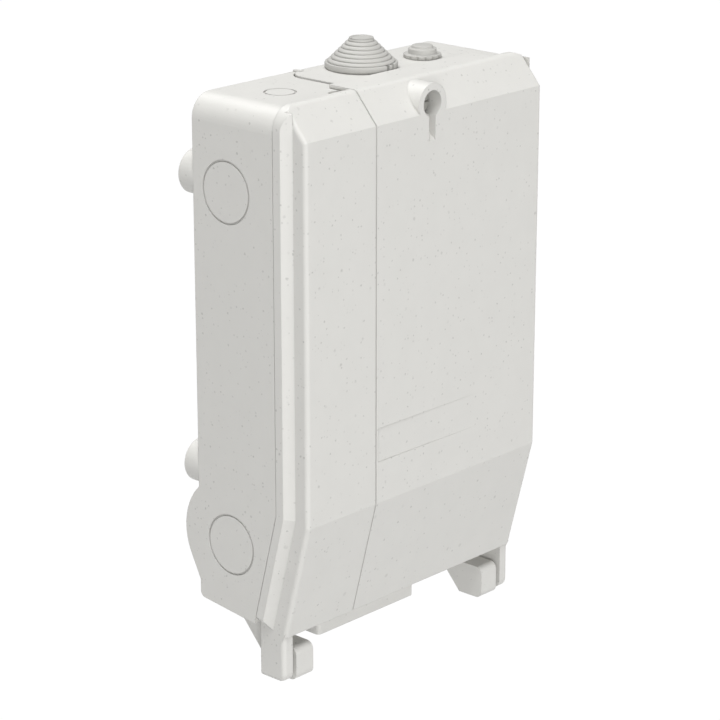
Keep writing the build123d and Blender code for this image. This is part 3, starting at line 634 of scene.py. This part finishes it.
class Forms:
    """The Geometry Nodes trees that the sub-assemblies share."""

    def __init__(self) -> None:
        """Builds each tree once."""
        self.turned = self.build_turned()
        self.slotted = self.build_slotted()
        self.threaded = self.build_threaded()
        self.socket_screws = self.build_socket_screws()

    def build_turned(self) -> Form:
        """Builds the tree that turns an outline round an upright axis, with notches.

        Its geometry holds the outline: X is the radius, Y how deep the notches are, Z the height.

        Returns:
            The tree.
        """
        form = Form("turned_form")
        columns = form.size("Segments", "NodeSocketInt", 64)
        count = form.size("Notches", "NodeSocketInt", 0)
        sharpness = form.size("Sharpness", "NodeSocketFloat", 1.0)
        centre = form.size("Centre", "NodeSocketVector", (0.0, 0.0, 0.0))
        outline = form.given.outputs["Geometry"]
        length = form.node("GeometryNodeAttributeDomainSize", component="MESH", Geometry=outline)
        grid, row, angle = form.sweep_grid(columns, length.outputs["Point Count"])
        sample = form.node("GeometryNodeSampleIndex", data_type="FLOAT_VECTOR", domain="POINT")
        form.join(outline, sample.inputs["Geometry"])
        place = form.node("GeometryNodeInputPosition")
        form.join(place.outputs[0], form.live(sample.inputs, "Value"))
        form.join(row, sample.inputs["Index"])
        spot = form.live(sample.outputs, "Value")
        parts = form.node("ShaderNodeSeparateXYZ", Vector=spot).outputs
        ripple = form.math("POWER", form.ripple(angle, count), sharpness)
        radius = form.math("SUBTRACT", parts["X"], form.times(parts["Y"], ripple))
        surface = form.wind(grid, radius, angle, parts["Z"])
        form.close(form.move(surface, centre))
        return form

    def build_slotted(self) -> Form:
        """Builds the tree that cuts upright slots into the rim of a round piece.

        Returns:
            The tree.
        """
        form = Form("slotted_rim")
        count = form.size("Slots", "NodeSocketInt", 2)
        step, ring = form.floats(Step=0.2, Ring=0.02)
        size = form.size("Size", "NodeSocketVector", (0.002, 0.005, 0.005))
        centre = form.size("Centre", "NodeSocketVector", (0.0, 0.0, 0.0))
        points = form.node("GeometryNodeMeshLine", Count=count)
        angle = form.times(form.node("GeometryNodeInputIndex").outputs[0], step)
        across = form.times(ring, form.math("SINE", angle))
        inward = form.times(ring, -1.0)
        along = form.times(inward, form.math("COSINE", angle))
        shifted = form.vector("ADD", form.place(across, along, 0.0), centre)
        moved = form.fill("GeometryNodeSetPosition", points.outputs["Mesh"], Position=shifted)
        block = form.node("GeometryNodeMeshCube", Size=size).outputs["Mesh"]
        copies = form.copy_onto(moved, block, form.place(0.0, 0.0, angle))
        cutters = form.fill("GeometryNodeRealizeInstances", copies)
        form.close(form.cut(form.given.outputs["Geometry"], cutters))
        return form

    def thread_surface(
        self, form: Form, radius: Socket, length: Socket, pitch: Socket, depth: Socket
    ) -> Socket:
        """Adds a closed threaded rod that starts at the origin and runs up.

        Args:
            form: the tree to add it to.
            radius: its radius at the roots, a socket.
            length: its length, a socket.
            pitch: the thread's pitch, a socket.
            depth: the thread's depth, a socket.

        Returns:
            The rod's geometry.
        """
        turns = form.math("DIVIDE", length, pitch)
        spaces = form.math("CEIL", form.times(turns, THREAD_ROWS))
        rows = form.math("ADD", spaces, END_ROWS)
        grid, row, angle = form.sweep_grid(THREAD_COLUMNS, rows)
        last = form.math("SUBTRACT", rows, END_ROWS)
        share = form.math("DIVIDE", form.math("SUBTRACT", row, 1.0), last, clamp=True)
        height = form.times(share, length)
        lead = form.math("DIVIDE", angle, math.tau)
        phase = form.math("SUBTRACT", form.math("DIVIDE", height, pitch), lead)
        saw = form.math("PINGPONG", phase, 0.5)
        fade_start = form.math("MULTIPLY", form.times(share, turns), 2.0, clamp=True)
        left = form.times(form.math("SUBTRACT", 1.0, share), turns)
        fade_end = form.math("MULTIPLY", left, 2.0, clamp=True)
        crest = form.times(form.times(saw, 2.0), depth)
        crest = form.times(crest, form.times(fade_start, fade_end))
        above = form.math("GREATER_THAN", row, 0.5)
        below = form.math("LESS_THAN", row, form.math("SUBTRACT", rows, 1.5))
        between = form.times(above, below)
        full = form.times(form.math("ADD", radius, crest), between)
        return form.wind(grid, full, angle, height)

    def build_threaded(self) -> Form:
        """Builds the tree that lays a threaded rod at each point, facing the front.

        Returns:
            The tree.
        """
        form = Form("threaded_rod")
        sizes = form.floats(Radius=0.004, Length=0.01, Pitch=0.001, Depth=0.0003)
        rod = self.thread_surface(form, *sizes)
        form.close(form.copy_onto(form.given.outputs["Geometry"], rod, FACING_FRONT))
        return form

    def build_socket_screws(self) -> Form:
        """Builds the tree that sets a knurled socket screw at each point, head to the front.

        The points are the middles of the heads' front faces.

        Returns:
            The tree.
        """
        form = Form("socket_screws")
        head, height, shank, length = form.floats(
            Head_Radius=0.004, Head_Height=0.004, Shank_Radius=0.002, Shank_Length=0.01
        )
        socket, deep, pitch, depth, knurl = form.floats(
            Socket_Radius=0.002, Socket_Depth=0.002, Pitch=0.001, Depth=0.0003, Knurl=0.0001
        )
        teeth = form.size("Teeth", "NodeSocketInt", 24)
        rows = form.node("FunctionNodeInputInt", integer=len(HEAD_ROWS)).outputs[0]
        columns = form.times(teeth, TOOTH_COLUMNS)
        grid, row, angle = form.sweep_grid(columns, rows)
        radius = level = ribbed = 0.0
        for number, (share, inset, drop, rib) in enumerate(HEAD_ROWS):
            here = form.math("COMPARE", row, float(number), 0.1)
            spot = form.math("SUBTRACT", head, form.times(height, inset))
            spot = form.times(spot, share)
            radius = form.math("ADD", radius, form.times(here, spot))
            fall = form.times(height, -drop)
            level = form.math("ADD", level, form.times(here, fall))
            ribbed = form.math("ADD", ribbed, form.times(here, rib))
        groove = form.times(form.ripple(angle, teeth), knurl)
        groove = form.times(groove, ribbed)
        body = form.wind(grid, form.math("SUBTRACT", radius, groove), angle, level)
        key = form.node("GeometryNodeMeshCylinder", Vertices=SOCKET_SIDES, Radius=socket)
        form.join(form.times(deep, 2.0), key.inputs["Depth"])
        top = form.cut(body, key.outputs["Mesh"])
        rod = self.thread_surface(form, shank, length, pitch, depth)
        foot = form.times(form.math("ADD", height, length), -1.0)
        whole = form.node("GeometryNodeJoinGeometry")
        form.join(form.move(rod, form.place(0.0, 0.0, foot)), whole.inputs[0])
        form.join(top, whole.inputs[0])
        points = form.given.outputs["Geometry"]
        form.close(form.copy_onto(points, whole.outputs[0], FACING_FRONT))
        return form


@dataclass(frozen=True)
class Finish:
    """A finish, with the numbers of its colour, flecks, painted shade in creases, gloss and
    relief.
    """

    name: str
    base: Colour
    fleck: Colour
    cells: float = 300.0
    share: float = 0.4
    strength: float = 0.4
    mottling: float = 0.06
    metallic: float = 0.0
    roughness: float = 0.5
    swing: float = 0.15
    grain: Grain = Grain.EVEN
    grain_scale: float = 900.0
    relief: float = 0.15
    edge_radius: float = 0.0
    # Painted shade: how strongly creases and gaps between parts are darkened, and how far that
    # reaches
    crevice_shade: float = 0.0
    crevice_reach: float = 0.0018

    def build(self, effects: Effects) -> bpy.types.Material:
        """Builds the material.

        Args:
            effects: the shared shader groups.

        Returns:
            The material.
        """
        material = bpy.data.materials.new(self.name)
        material.use_nodes = True
        tree = Tree(material.node_tree)
        output = tree.node("ShaderNodeOutputMaterial")
        fleck = (*self.fleck, 1.0)
        flecks = tree.node(
            "ShaderNodeGroup", node_tree=effects.flecks, Base=(*self.base, 1.0), Fleck=fleck,
            Cells=self.cells, Share=self.share, Strength=self.strength, Mottling=self.mottling,
        )
        grain = tree.node(
            "ShaderNodeGroup", node_tree=effects.grain, Scale=self.grain_scale,
            Stretch=self.grain.value, Roughness=self.roughness, Swing=self.swing,
        )
        colour = flecks.outputs["Color"]
        # Painted shade: ambient occlusion darkens creases and gaps between parts towards the fleck
        # colour
        if self.crevice_shade > 0:
            shelter = tree.node(
                "ShaderNodeAmbientOcclusion", samples=SHELTER_SAMPLES, only_local=False,
                Distance=self.crevice_reach,
            )
            painted_shade = tree.math("SUBTRACT", 1.0, shelter.outputs["AO"])
            painted_shade = tree.math("MULTIPLY", painted_shade, self.crevice_shade, clamp=True)
            colour = tree.mix(painted_shade, colour, fleck)
        bump = tree.node("ShaderNodeBump", Strength=self.relief, Distance=BUMP_REACH)
        tree.join(grain.outputs["Height"], bump.inputs["Height"])
        if self.edge_radius > 0:
            rounding = tree.fill("ShaderNodeBevel", self.edge_radius, samples=BEVEL_SAMPLES)
            tree.join(rounding, bump.inputs["Normal"])
        shader = tree.node(
            "ShaderNodeBsdfPrincipled", Base_Color=colour, Metallic=self.metallic,
            Roughness=grain.outputs["Roughness"], Normal=bump.outputs[0],
        )
        tree.join(shader.outputs[0], output.inputs["Surface"])
        return material


@dataclass(frozen=True)
class Finishes:
    """All finishes of the box."""

    moulding: Finish = Finish(
        "moulding", srgb(213, 212, 208), srgb(150, 149, 145), cells=150.0, share=0.22,
        strength=0.5, mottling=0.05, roughness=0.46, swing=0.12, relief=0.12,
        edge_radius=0.0007, crevice_shade=0.4,
    )
    gland: Finish = Finish(
        "gland_plastic", srgb(184, 183, 179), srgb(164, 163, 159), share=0.2, strength=0.3,
        roughness=0.55, edge_radius=0.0003, crevice_shade=0.25,
    )
    rubber: Finish = Finish(
        "sealing_rubber", srgb(38, 38, 38), srgb(70, 70, 70), cells=800.0, share=0.15,
        strength=0.3, roughness=0.7, relief=0.3,
    )
    zinc: Finish = Finish(
        "zinc_steel", srgb(190, 190, 186), srgb(150, 150, 140), cells=500.0, metallic=1.0,
        roughness=0.35, swing=0.25, grain=Grain.DRAWN, relief=0.1, edge_radius=0.0002,
    )
    pin_steel: Finish = Finish(
        "pin_steel", srgb(180, 180, 178), srgb(140, 140, 138), metallic=1.0, roughness=0.25,
        grain=Grain.DRAWN, relief=0.08,
    )
    brass: Finish = Finish(
        "turned_brass", srgb(203, 166, 92), srgb(150, 112, 55), metallic=1.0, roughness=0.3,
        grain=Grain.DRAWN, relief=0.1,
    )
    thermoset: Finish = Finish(
        "base_thermoset", srgb(52, 52, 54), srgb(88, 86, 82), cells=420.0, share=0.3,
        strength=0.35, relief=0.2, edge_radius=0.0005,
    )
    plated: Finish = Finish(
        "plated_copper", srgb(214, 208, 196), srgb(176, 160, 138), cells=200.0, metallic=1.0,
        roughness=0.28, swing=0.2, grain=Grain.DRAWN, relief=0.08, edge_radius=0.0003,
    )
    steatite: Finish = Finish(
        "steatite", srgb(226, 221, 208), srgb(196, 188, 170), cells=240.0, share=0.25,
        strength=0.3, roughness=0.22, relief=0.06, edge_radius=0.0008,
    )


SLOT_FINISH = {
    "smc": "moulding",
    "gland": "gland",
    "seal_rubber": "rubber",
    "zinc_steel": "zinc",
    "stainless": "pin_steel",
    "brass": "brass",
    "base_plastic": "thermoset",
    "plated_copper": "plated",
    "steatite": "steatite",
}


class Palette:
    """The materials of all slots, built once."""

    def __init__(self, finishes: Finishes) -> None:
        """Builds the material of each slot.

        Args:
            finishes: the box's finishes.
        """
        effects = Effects()
        self.materials: dict[str, bpy.types.Material] = {}
        for slot, finish_name in SLOT_FINISH.items():
            self.materials[slot] = getattr(finishes, finish_name).build(effects)


@dataclass
class Assembly:
    """A sub-assembly with its carried-over nodes and the pieces that it adds."""

    frame: dict
    palette: Palette
    forms: Forms
    prefixes: tuple[str, ...] = ()

    def dress(self) -> None:
        """Gives each carried-over node the material of its slot."""
        for entry in self.frame["record"]["subparts"]:
            name = entry["node"]
            if name.startswith(self.prefixes):
                mesh = self.frame["nodes"][name].data
                mesh.materials.clear()
                mesh.materials.append(self.palette.materials[entry["material_slot"]])
                LOG.info("dressed %s as %s", name, entry["material_slot"])

    def build_meshes(self) -> None:
        """Adds no piece of its own."""

    def build(self) -> None:
        """Dresses the nodes and adds the pieces."""
        self.dress()
        self.build_meshes()

    def settle(self, piece: bpy.types.Object, body: Body, slot: str, *replaced: str) -> None:
        """Sets a piece on the body that it rides on and hides the nodes that it stands for.

        Args:
            piece: the piece.
            body: the body that it rides on.
            slot: its material slot; not used.
            *replaced: the nodes that it replaces.
        """
        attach(piece, body.value)
        if replaced:
            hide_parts(*replaced)
        LOG.info("built %s on %s, %d faces", piece.name, body.value, len(piece.data.polygons))


@dataclass
class Enclosure(Assembly):
    """Housing, cover, gasket, hinge pins, entry plate and bottom seal."""

    prefixes: tuple[str, ...] = (
        "rear_housing", "front_cover", "cover_gasket", "hinge_pin", "entry_plate",
        "bottom_entry_seal",
    )


@dataclass
class MembraneGlands(Assembly):
    """The two membrane glands on the entry plate, in millimetres."""

    prefixes: tuple[str, ...] = ("membrane_gland",)
    height: float = 19.6
    flange_radius: float = 23.4
    flange_height: float = 4.2
    shoulder: float = 1.4
    rings: int = 7
    first_ring: float = 21.4
    last_ring: float = 8.1
    groove: float = 0.85
    ring_points: int = 6
    ring_fullness: float = 0.55
    ring_lean: float = 0.7
    brow_inset: float = 0.3
    brow_drop: float = 0.25
    crown_margin: float = 0.7
    dish_edge: float = 1.6
    dish_floor: float = 2.2
    dish_depth: float = 0.7
    bore_radius: float = 15.5
    bore_height: float = 5.0
    root_radius: float = 17.0
    lip: float = 0.7
    lip_height: float = 2.0
    skin: float = 1.5
    slots: int = 2
    slot_step: float = 13.0
    slot_width: float = 2.4
    slot_depth: float = 10.6
    slot_height_share: float = 1.02
    slot_middle_share: float = 0.52
    small_height: float = 8.0
    small_flange: float = 12.35
    small_flange_height: float = 2.6
    small_disc: float = 9.2
    small_disc_height: float = 6.2
    small_tip: float = 6.8
    small_draft: float = 0.3
    small_root: float = 10.25
    small_notches: int = 14
    small_notch_depth: float = 0.9
    small_notch_margin: float = 0.5
    notch_band: float = 0.6
    notch_sharpness: float = 5.0
    softness: float = 0.7
    segments: int = 112

    def ring_outline(self) -> list[Point]:
        """Works out the soft rings of the large gland, from the flange up.

        Returns:
            (radius, height) pairs, in millimetres.
        """
        pace = (self.first_ring - self.last_ring) / (self.rings - 1)
        rise = (self.height - self.flange_height) / self.rings
        outline = []
        for ring in range(self.rings):
            radius = self.first_ring - pace * ring
            foot = self.flange_height + rise * ring
            for step in range(self.ring_points):
                t = step / self.ring_points
                bulge = math.sin(math.pi * t) ** self.ring_fullness if t > 0 else 0.0
                lean = pace * (0.5 - t) * self.ring_lean
                outline.append((radius + lean - self.groove * (1 - bulge), foot + rise * t))
        brow = self.last_ring - self.groove * self.brow_inset
        outline.append((brow, self.height - self.brow_drop))
        return outline

    def foot_outline(self, root: float, wall: float, depth: float) -> list[Point]:
        """Works out the root below the plate, from the flange's underside to the bore.

        Args:
            root: outer radius of the root.
            wall: thickness of its wall.
            depth: height of the plate's hole.

        Returns:
            (radius, height) pairs, in millimetres.
        """
        bottom = -depth - self.lip_height
        return [
            (root, 0.0),
            (root, -depth),
            (root + self.lip, -depth),
            (root, bottom),
            (root - wall, bottom),
        ]

    def turn(
        self, name: str, outline: list[Point], notch_rows: float = 0.0, notches: int = 0
    ) -> bpy.types.Object:
        """Turns an outline at the place of the node that it stands for.

        Args:
            name: the node's name.
            outline: (radius, height) pairs, in millimetres.
            notch_rows: height up to which the outer rim is notched.
            notches: how many notches.

        Returns:
            The turned piece.
        """
        low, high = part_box(name)
        top = max(height for _, height in outline)
        centre = ((low[0] + high[0]) / 2, (low[1] + high[1]) / 2, high[2] - top * MM)
        rim = max(radius for radius, _ in outline)
        points = []
        for radius, height in outline:
            notched = notches > 0 and radius > rim - self.notch_band and height <= notch_rows
            depth = self.small_notch_depth * MM if notched else 0.0
            points.append((radius * MM, depth, height * MM))
        values = {
            "Segments": self.segments,
            "Notches": notches,
            "Sharpness": self.notch_sharpness,
            "Centre": centre,
        }
        material = self.palette.materials["gland"]
        return self.forms.turned.make(f"{name}_rings", point_mesh(name, points), material, values)

    def build_large(self) -> None:
        """Builds the ringed gland and cuts its two slots."""
        name = "membrane_gland_large"
        low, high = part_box(name)
        depth = (high[2] - low[2]) / MM - self.height - self.lip_height
        dish = self.height - self.dish_depth
        inside = self.height - 2 * self.skin
        rim = [
            (self.flange_radius - self.shoulder, self.flange_height),
            (self.flange_radius, self.flange_height),
            (self.flange_radius, 0.0),
            (self.root_radius, 0.0),
        ]
        outline = [
            (0.0, dish),
            (self.last_ring - self.dish_floor, dish),
            (self.last_ring - self.dish_edge, self.height),
            (self.last_ring - self.crown_margin, self.height),
            *reversed(self.ring_outline()),
            *soften(rim, self.shoulder)[:-1],
            *self.foot_outline(self.root_radius, self.root_radius - self.bore_radius, depth),
            (self.bore_radius, self.bore_height),
            (self.last_ring - 2 * self.skin, inside),
            (0.0, inside),
        ]
        whole = self.turn(name, outline)
        foot = high[2] - self.height * MM
        height = self.flange_height * MM
        middle = foot + height * self.slot_middle_share
        values = {
            "Slots": self.slots,
            "Step": math.radians(self.slot_step),
            "Ring": self.flange_radius * MM,
            "Size": (self.slot_width * MM, self.slot_depth * MM, height * self.slot_height_share),
            "Centre": ((low[0] + high[0]) / 2, (low[1] + high[1]) / 2, middle),
        }
        material = self.palette.materials["gland"]
        piece = self.forms.slotted.make(f"{name}_ringed", whole.data, material, values)
        bpy.data.objects.remove(whole)
        self.settle(piece, Body.HOUSING, "gland", name)

    def build_small(self) -> None:
        """Builds the notched gland."""
        name = "membrane_gland_small"
        low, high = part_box(name)
        depth = (high[2] - low[2]) / MM - self.small_height - self.lip_height
        steps = [
            (0.0, self.small_height),
            (self.small_tip, self.small_height),
            (self.small_tip + self.small_draft, self.small_disc_height),
            (self.small_disc, self.small_disc_height),
            (self.small_disc, self.small_flange_height),
            (self.small_flange, self.small_flange_height),
            (self.small_flange, 0.0),
            (self.small_root, 0.0),
        ]
        inside = self.small_height - self.skin
        outline = [
            *soften(steps, self.softness)[:-1],
            *self.foot_outline(self.small_root, self.skin, depth),
            (self.small_root - self.skin, self.small_flange_height - self.skin),
            (self.small_tip - self.skin, inside),
            (0.0, inside),
        ]
        notch_rows = self.small_flange_height - self.small_notch_margin
        piece = self.turn(name, outline, notch_rows, self.small_notches)
        self.settle(piece, Body.HOUSING, "gland", name)

    def build_meshes(self) -> None:
        """Builds both glands."""
        self.build_large()
        self.build_small()


@dataclass
class CoverLock(Assembly):
    """The captive cover screw with its washer, clip and insert, in millimetres."""

    prefixes: tuple[str, ...] = ("cover_screw", "screw_")
    root_radius: float = 4.02
    thread_depth: float = 0.33
    pitch: float = 1.25
    tip_margin: float = 0.7
    clip_margin: float = 0.3

    def build_meshes(self) -> None:
        """Adds the thread between the screw's tip and its clip."""
        screw_low, screw_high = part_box("cover_screw")
        clip_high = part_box("screw_clip")[1]
        middle = [(screw_low[axis] + screw_high[axis]) / 2 for axis in range(3)]
        start = screw_high[1] - self.tip_margin * MM
        values = {
            "Radius": self.root_radius * MM,
            "Length": start - clip_high[1] - self.clip_margin * MM,
            "Pitch": self.pitch * MM,
            "Depth": self.thread_depth * MM,
        }
        points = point_mesh("cover_screw_tip", [(middle[0], start, middle[2])])
        material = self.palette.materials["zinc_steel"]
        piece = self.forms.threaded.make("cover_screw_thread", points, material, values)
        self.settle(piece, Body.SCREW, "zinc_steel")


@dataclass
class SocketScrews(Assembly):
    """One kind of knurled socket screw, in millimetres."""

    node: str = "clamp_screws"
    head_height: float = 4.0
    shank_radius: float = 3.0
    socket_radius: float = 2.3
    socket_depth: float = 2.5
    pitch: float = 1.0
    thread_depth: float = 0.3
    knurl: float = 0.14
    teeth: int = 26

    def build_meshes(self) -> None:
        """Sets a screw in each place of the node that it stands for."""
        boxes = islands(self.frame["nodes"][self.node])
        places = [((low.x + high.x) / 2, low.y, (low.z + high.z) / 2) for low, high in boxes]
        low, high = boxes[0]
        values = {
            "Head Radius": (high.x - low.x) / 2,
            "Head Height": self.head_height * MM,
            "Shank Radius": (self.shank_radius - self.thread_depth) * MM,
            "Shank Length": high.y - low.y - self.head_height * MM,
            "Socket Radius": self.socket_radius * MM,
            "Socket Depth": self.socket_depth * MM,
            "Pitch": self.pitch * MM,
            "Depth": self.thread_depth * MM,
            "Knurl": self.knurl * MM,
            "Teeth": self.teeth,
        }
        points = point_mesh(self.node, places)
        material = self.palette.materials["zinc_steel"]
        piece = self.forms.socket_screws.make(f"{self.node}_knurled", points, material, values)
        self.settle(piece, Body.HOUSING, "zinc_steel", self.node)


@dataclass
class FuseGear(Assembly):
    """Fuse base, jaws, clamps, fuse-links, neutral bar and cable saddle."""

    prefixes: tuple[str, ...] = (
        "fuse_", "jaw_contact", "terminal_clamp", "pen_", "cable_saddle", "clamp_screws",
        "fixing_screws",
    )


@dataclass(frozen=True)
class Lamp:
    """A square soft lamp that faces the box: place and edge in metres, power in watts."""

    name: str
    place: Place
    size: float
    power: float

    def hang(self) -> None:
        """Hangs the lamp in the scene."""
        data = bpy.data.lights.new(self.name, "AREA")
        data.size = self.size
        data.energy = self.power
        lamp = new_object(self.name, data)
        lamp.location = self.place
        lamp.rotation_euler = (-Vector(self.place)).to_track_quat("-Z", "Y").to_euler()


@dataclass
class Studio:
    """Floor, lamps, world and camera."""

    camera_place: Place = (-1.2476, -1.1990, 0.5142)
    view_yaw: float = 0.8247
    view_pitch: float = 0.3171
    focal_pixels: float = 2737.12
    frame_pixels: int = 720
    sensor_width: float = 36.0
    view_distance: float = 50.0
    floor_height: float = -0.62
    floor_size: float = 14.0
    floor_grey: float = 0.5
    floor_roughness: float = 0.9
    floor_glow: float = 1.03
    floor_glow_share: float = 0.97
    world_light: float = 0.3
    lamps: tuple[Lamp, ...] = (
        Lamp("key", (-1.6, -1.4, 4.6), 2.4, 128.0),
        Lamp("top", (0.3, 2.4, 4.6), 3.0, 165.0),
        Lamp("corner", (-3.2, -3.4, 0.35), 1.2, 76.0),
        Lamp("front", (0.5, -5.0, 0.5), 1.8, 56.0),
    )

    def build_camera(self) -> None:
        """Sets the camera at the photograph's place and angle."""
        data = bpy.data.cameras.new("camera")
        data.sensor_width = self.sensor_width
        data.lens = self.sensor_width * self.focal_pixels / self.frame_pixels
        data.clip_end = self.view_distance
        camera = new_object("camera", data)
        forward = Vector(
            (
                math.sin(self.view_yaw) * math.cos(self.view_pitch),
                math.cos(self.view_yaw) * math.cos(self.view_pitch),
                -math.sin(self.view_pitch),
            )
        )
        camera.location = self.camera_place
        camera.rotation_euler = forward.to_track_quat("-Z", "Y").to_euler()
        bpy.context.scene.camera = camera

    def build_floor(self) -> None:
        """Lays a grey floor that glows white for the camera and in reflections."""
        half = self.floor_size / 2
        mesh = bpy.data.meshes.new("floor")
        corners = [(-half, -half), (half, -half), (half, half), (-half, half)]
        mesh.from_pydata([(x, y, self.floor_height) for x, y in corners], [], [(0, 1, 2, 3)])
        floor = new_object("floor", mesh)
        material = bpy.data.materials.new("floor")
        material.use_nodes = True
        tree = Tree(material.node_tree)
        output = tree.node("ShaderNodeOutputMaterial")
        grey = (self.floor_grey, self.floor_grey, self.floor_grey, 1.0)
        shader = tree.fill("ShaderNodeBsdfPrincipled", grey, Roughness=self.floor_roughness)
        glow = tree.fill("ShaderNodeEmission", Strength=self.floor_glow)
        rays = tree.node("ShaderNodeLightPath").outputs
        seen = tree.math("MAXIMUM", rays["Is Camera Ray"], rays["Is Glossy Ray"])
        share = tree.times(seen, self.floor_glow_share)
        blend = tree.fill("ShaderNodeMixShader", share, shader, glow)
        tree.join(blend, output.inputs["Surface"])
        mesh.materials.append(material)

    def build_world(self) -> None:
        """Sets an even world that the camera sees as white."""
        world = bpy.data.worlds.new("studio")
        bpy.context.scene.world = world
        world.use_nodes = True
        tree = Tree(world.node_tree)
        output = tree.node("ShaderNodeOutputWorld")
        white = (1.0, 1.0, 1.0, 1.0)
        ambient = tree.fill("ShaderNodeBackground", white, self.world_light)
        backdrop = tree.fill("ShaderNodeBackground", white, 1.0)
        seen = tree.node("ShaderNodeLightPath").outputs["Is Camera Ray"]
        blend = tree.fill("ShaderNodeMixShader", seen, ambient, backdrop)
        tree.join(blend, output.inputs["Surface"])

    def build(self) -> None:
        """Builds the whole studio."""
        bpy.context.scene.view_settings.view_transform = "Standard"
        self.build_camera()
        self.build_floor()
        self.build_world()
        for lamp in self.lamps:
            lamp.hang()


def main() -> None:
    """Builds the box's looks in order."""
    logging.basicConfig(level=logging.INFO, format="%(message)s")
    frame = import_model()
    palette = Palette(Finishes())
    forms = Forms()
    assemblies = (
        Enclosure(frame, palette, forms),
        MembraneGlands(frame, palette, forms),
        CoverLock(frame, palette, forms),
        FuseGear(frame, palette, forms),
        SocketScrews(frame, palette, forms, node="clamp_screws"),
        SocketScrews(
            frame, palette, forms, node="fixing_screws", head_height=3.5, shank_radius=2.4,
            pitch=0.8, teeth=24,
        ),
    )
    for assembly in assemblies:
        LOG.info("sub-assembly %s", type(assembly).__name__)
        assembly.build()
    Studio().build()


if __name__ == "__main__":
    main()
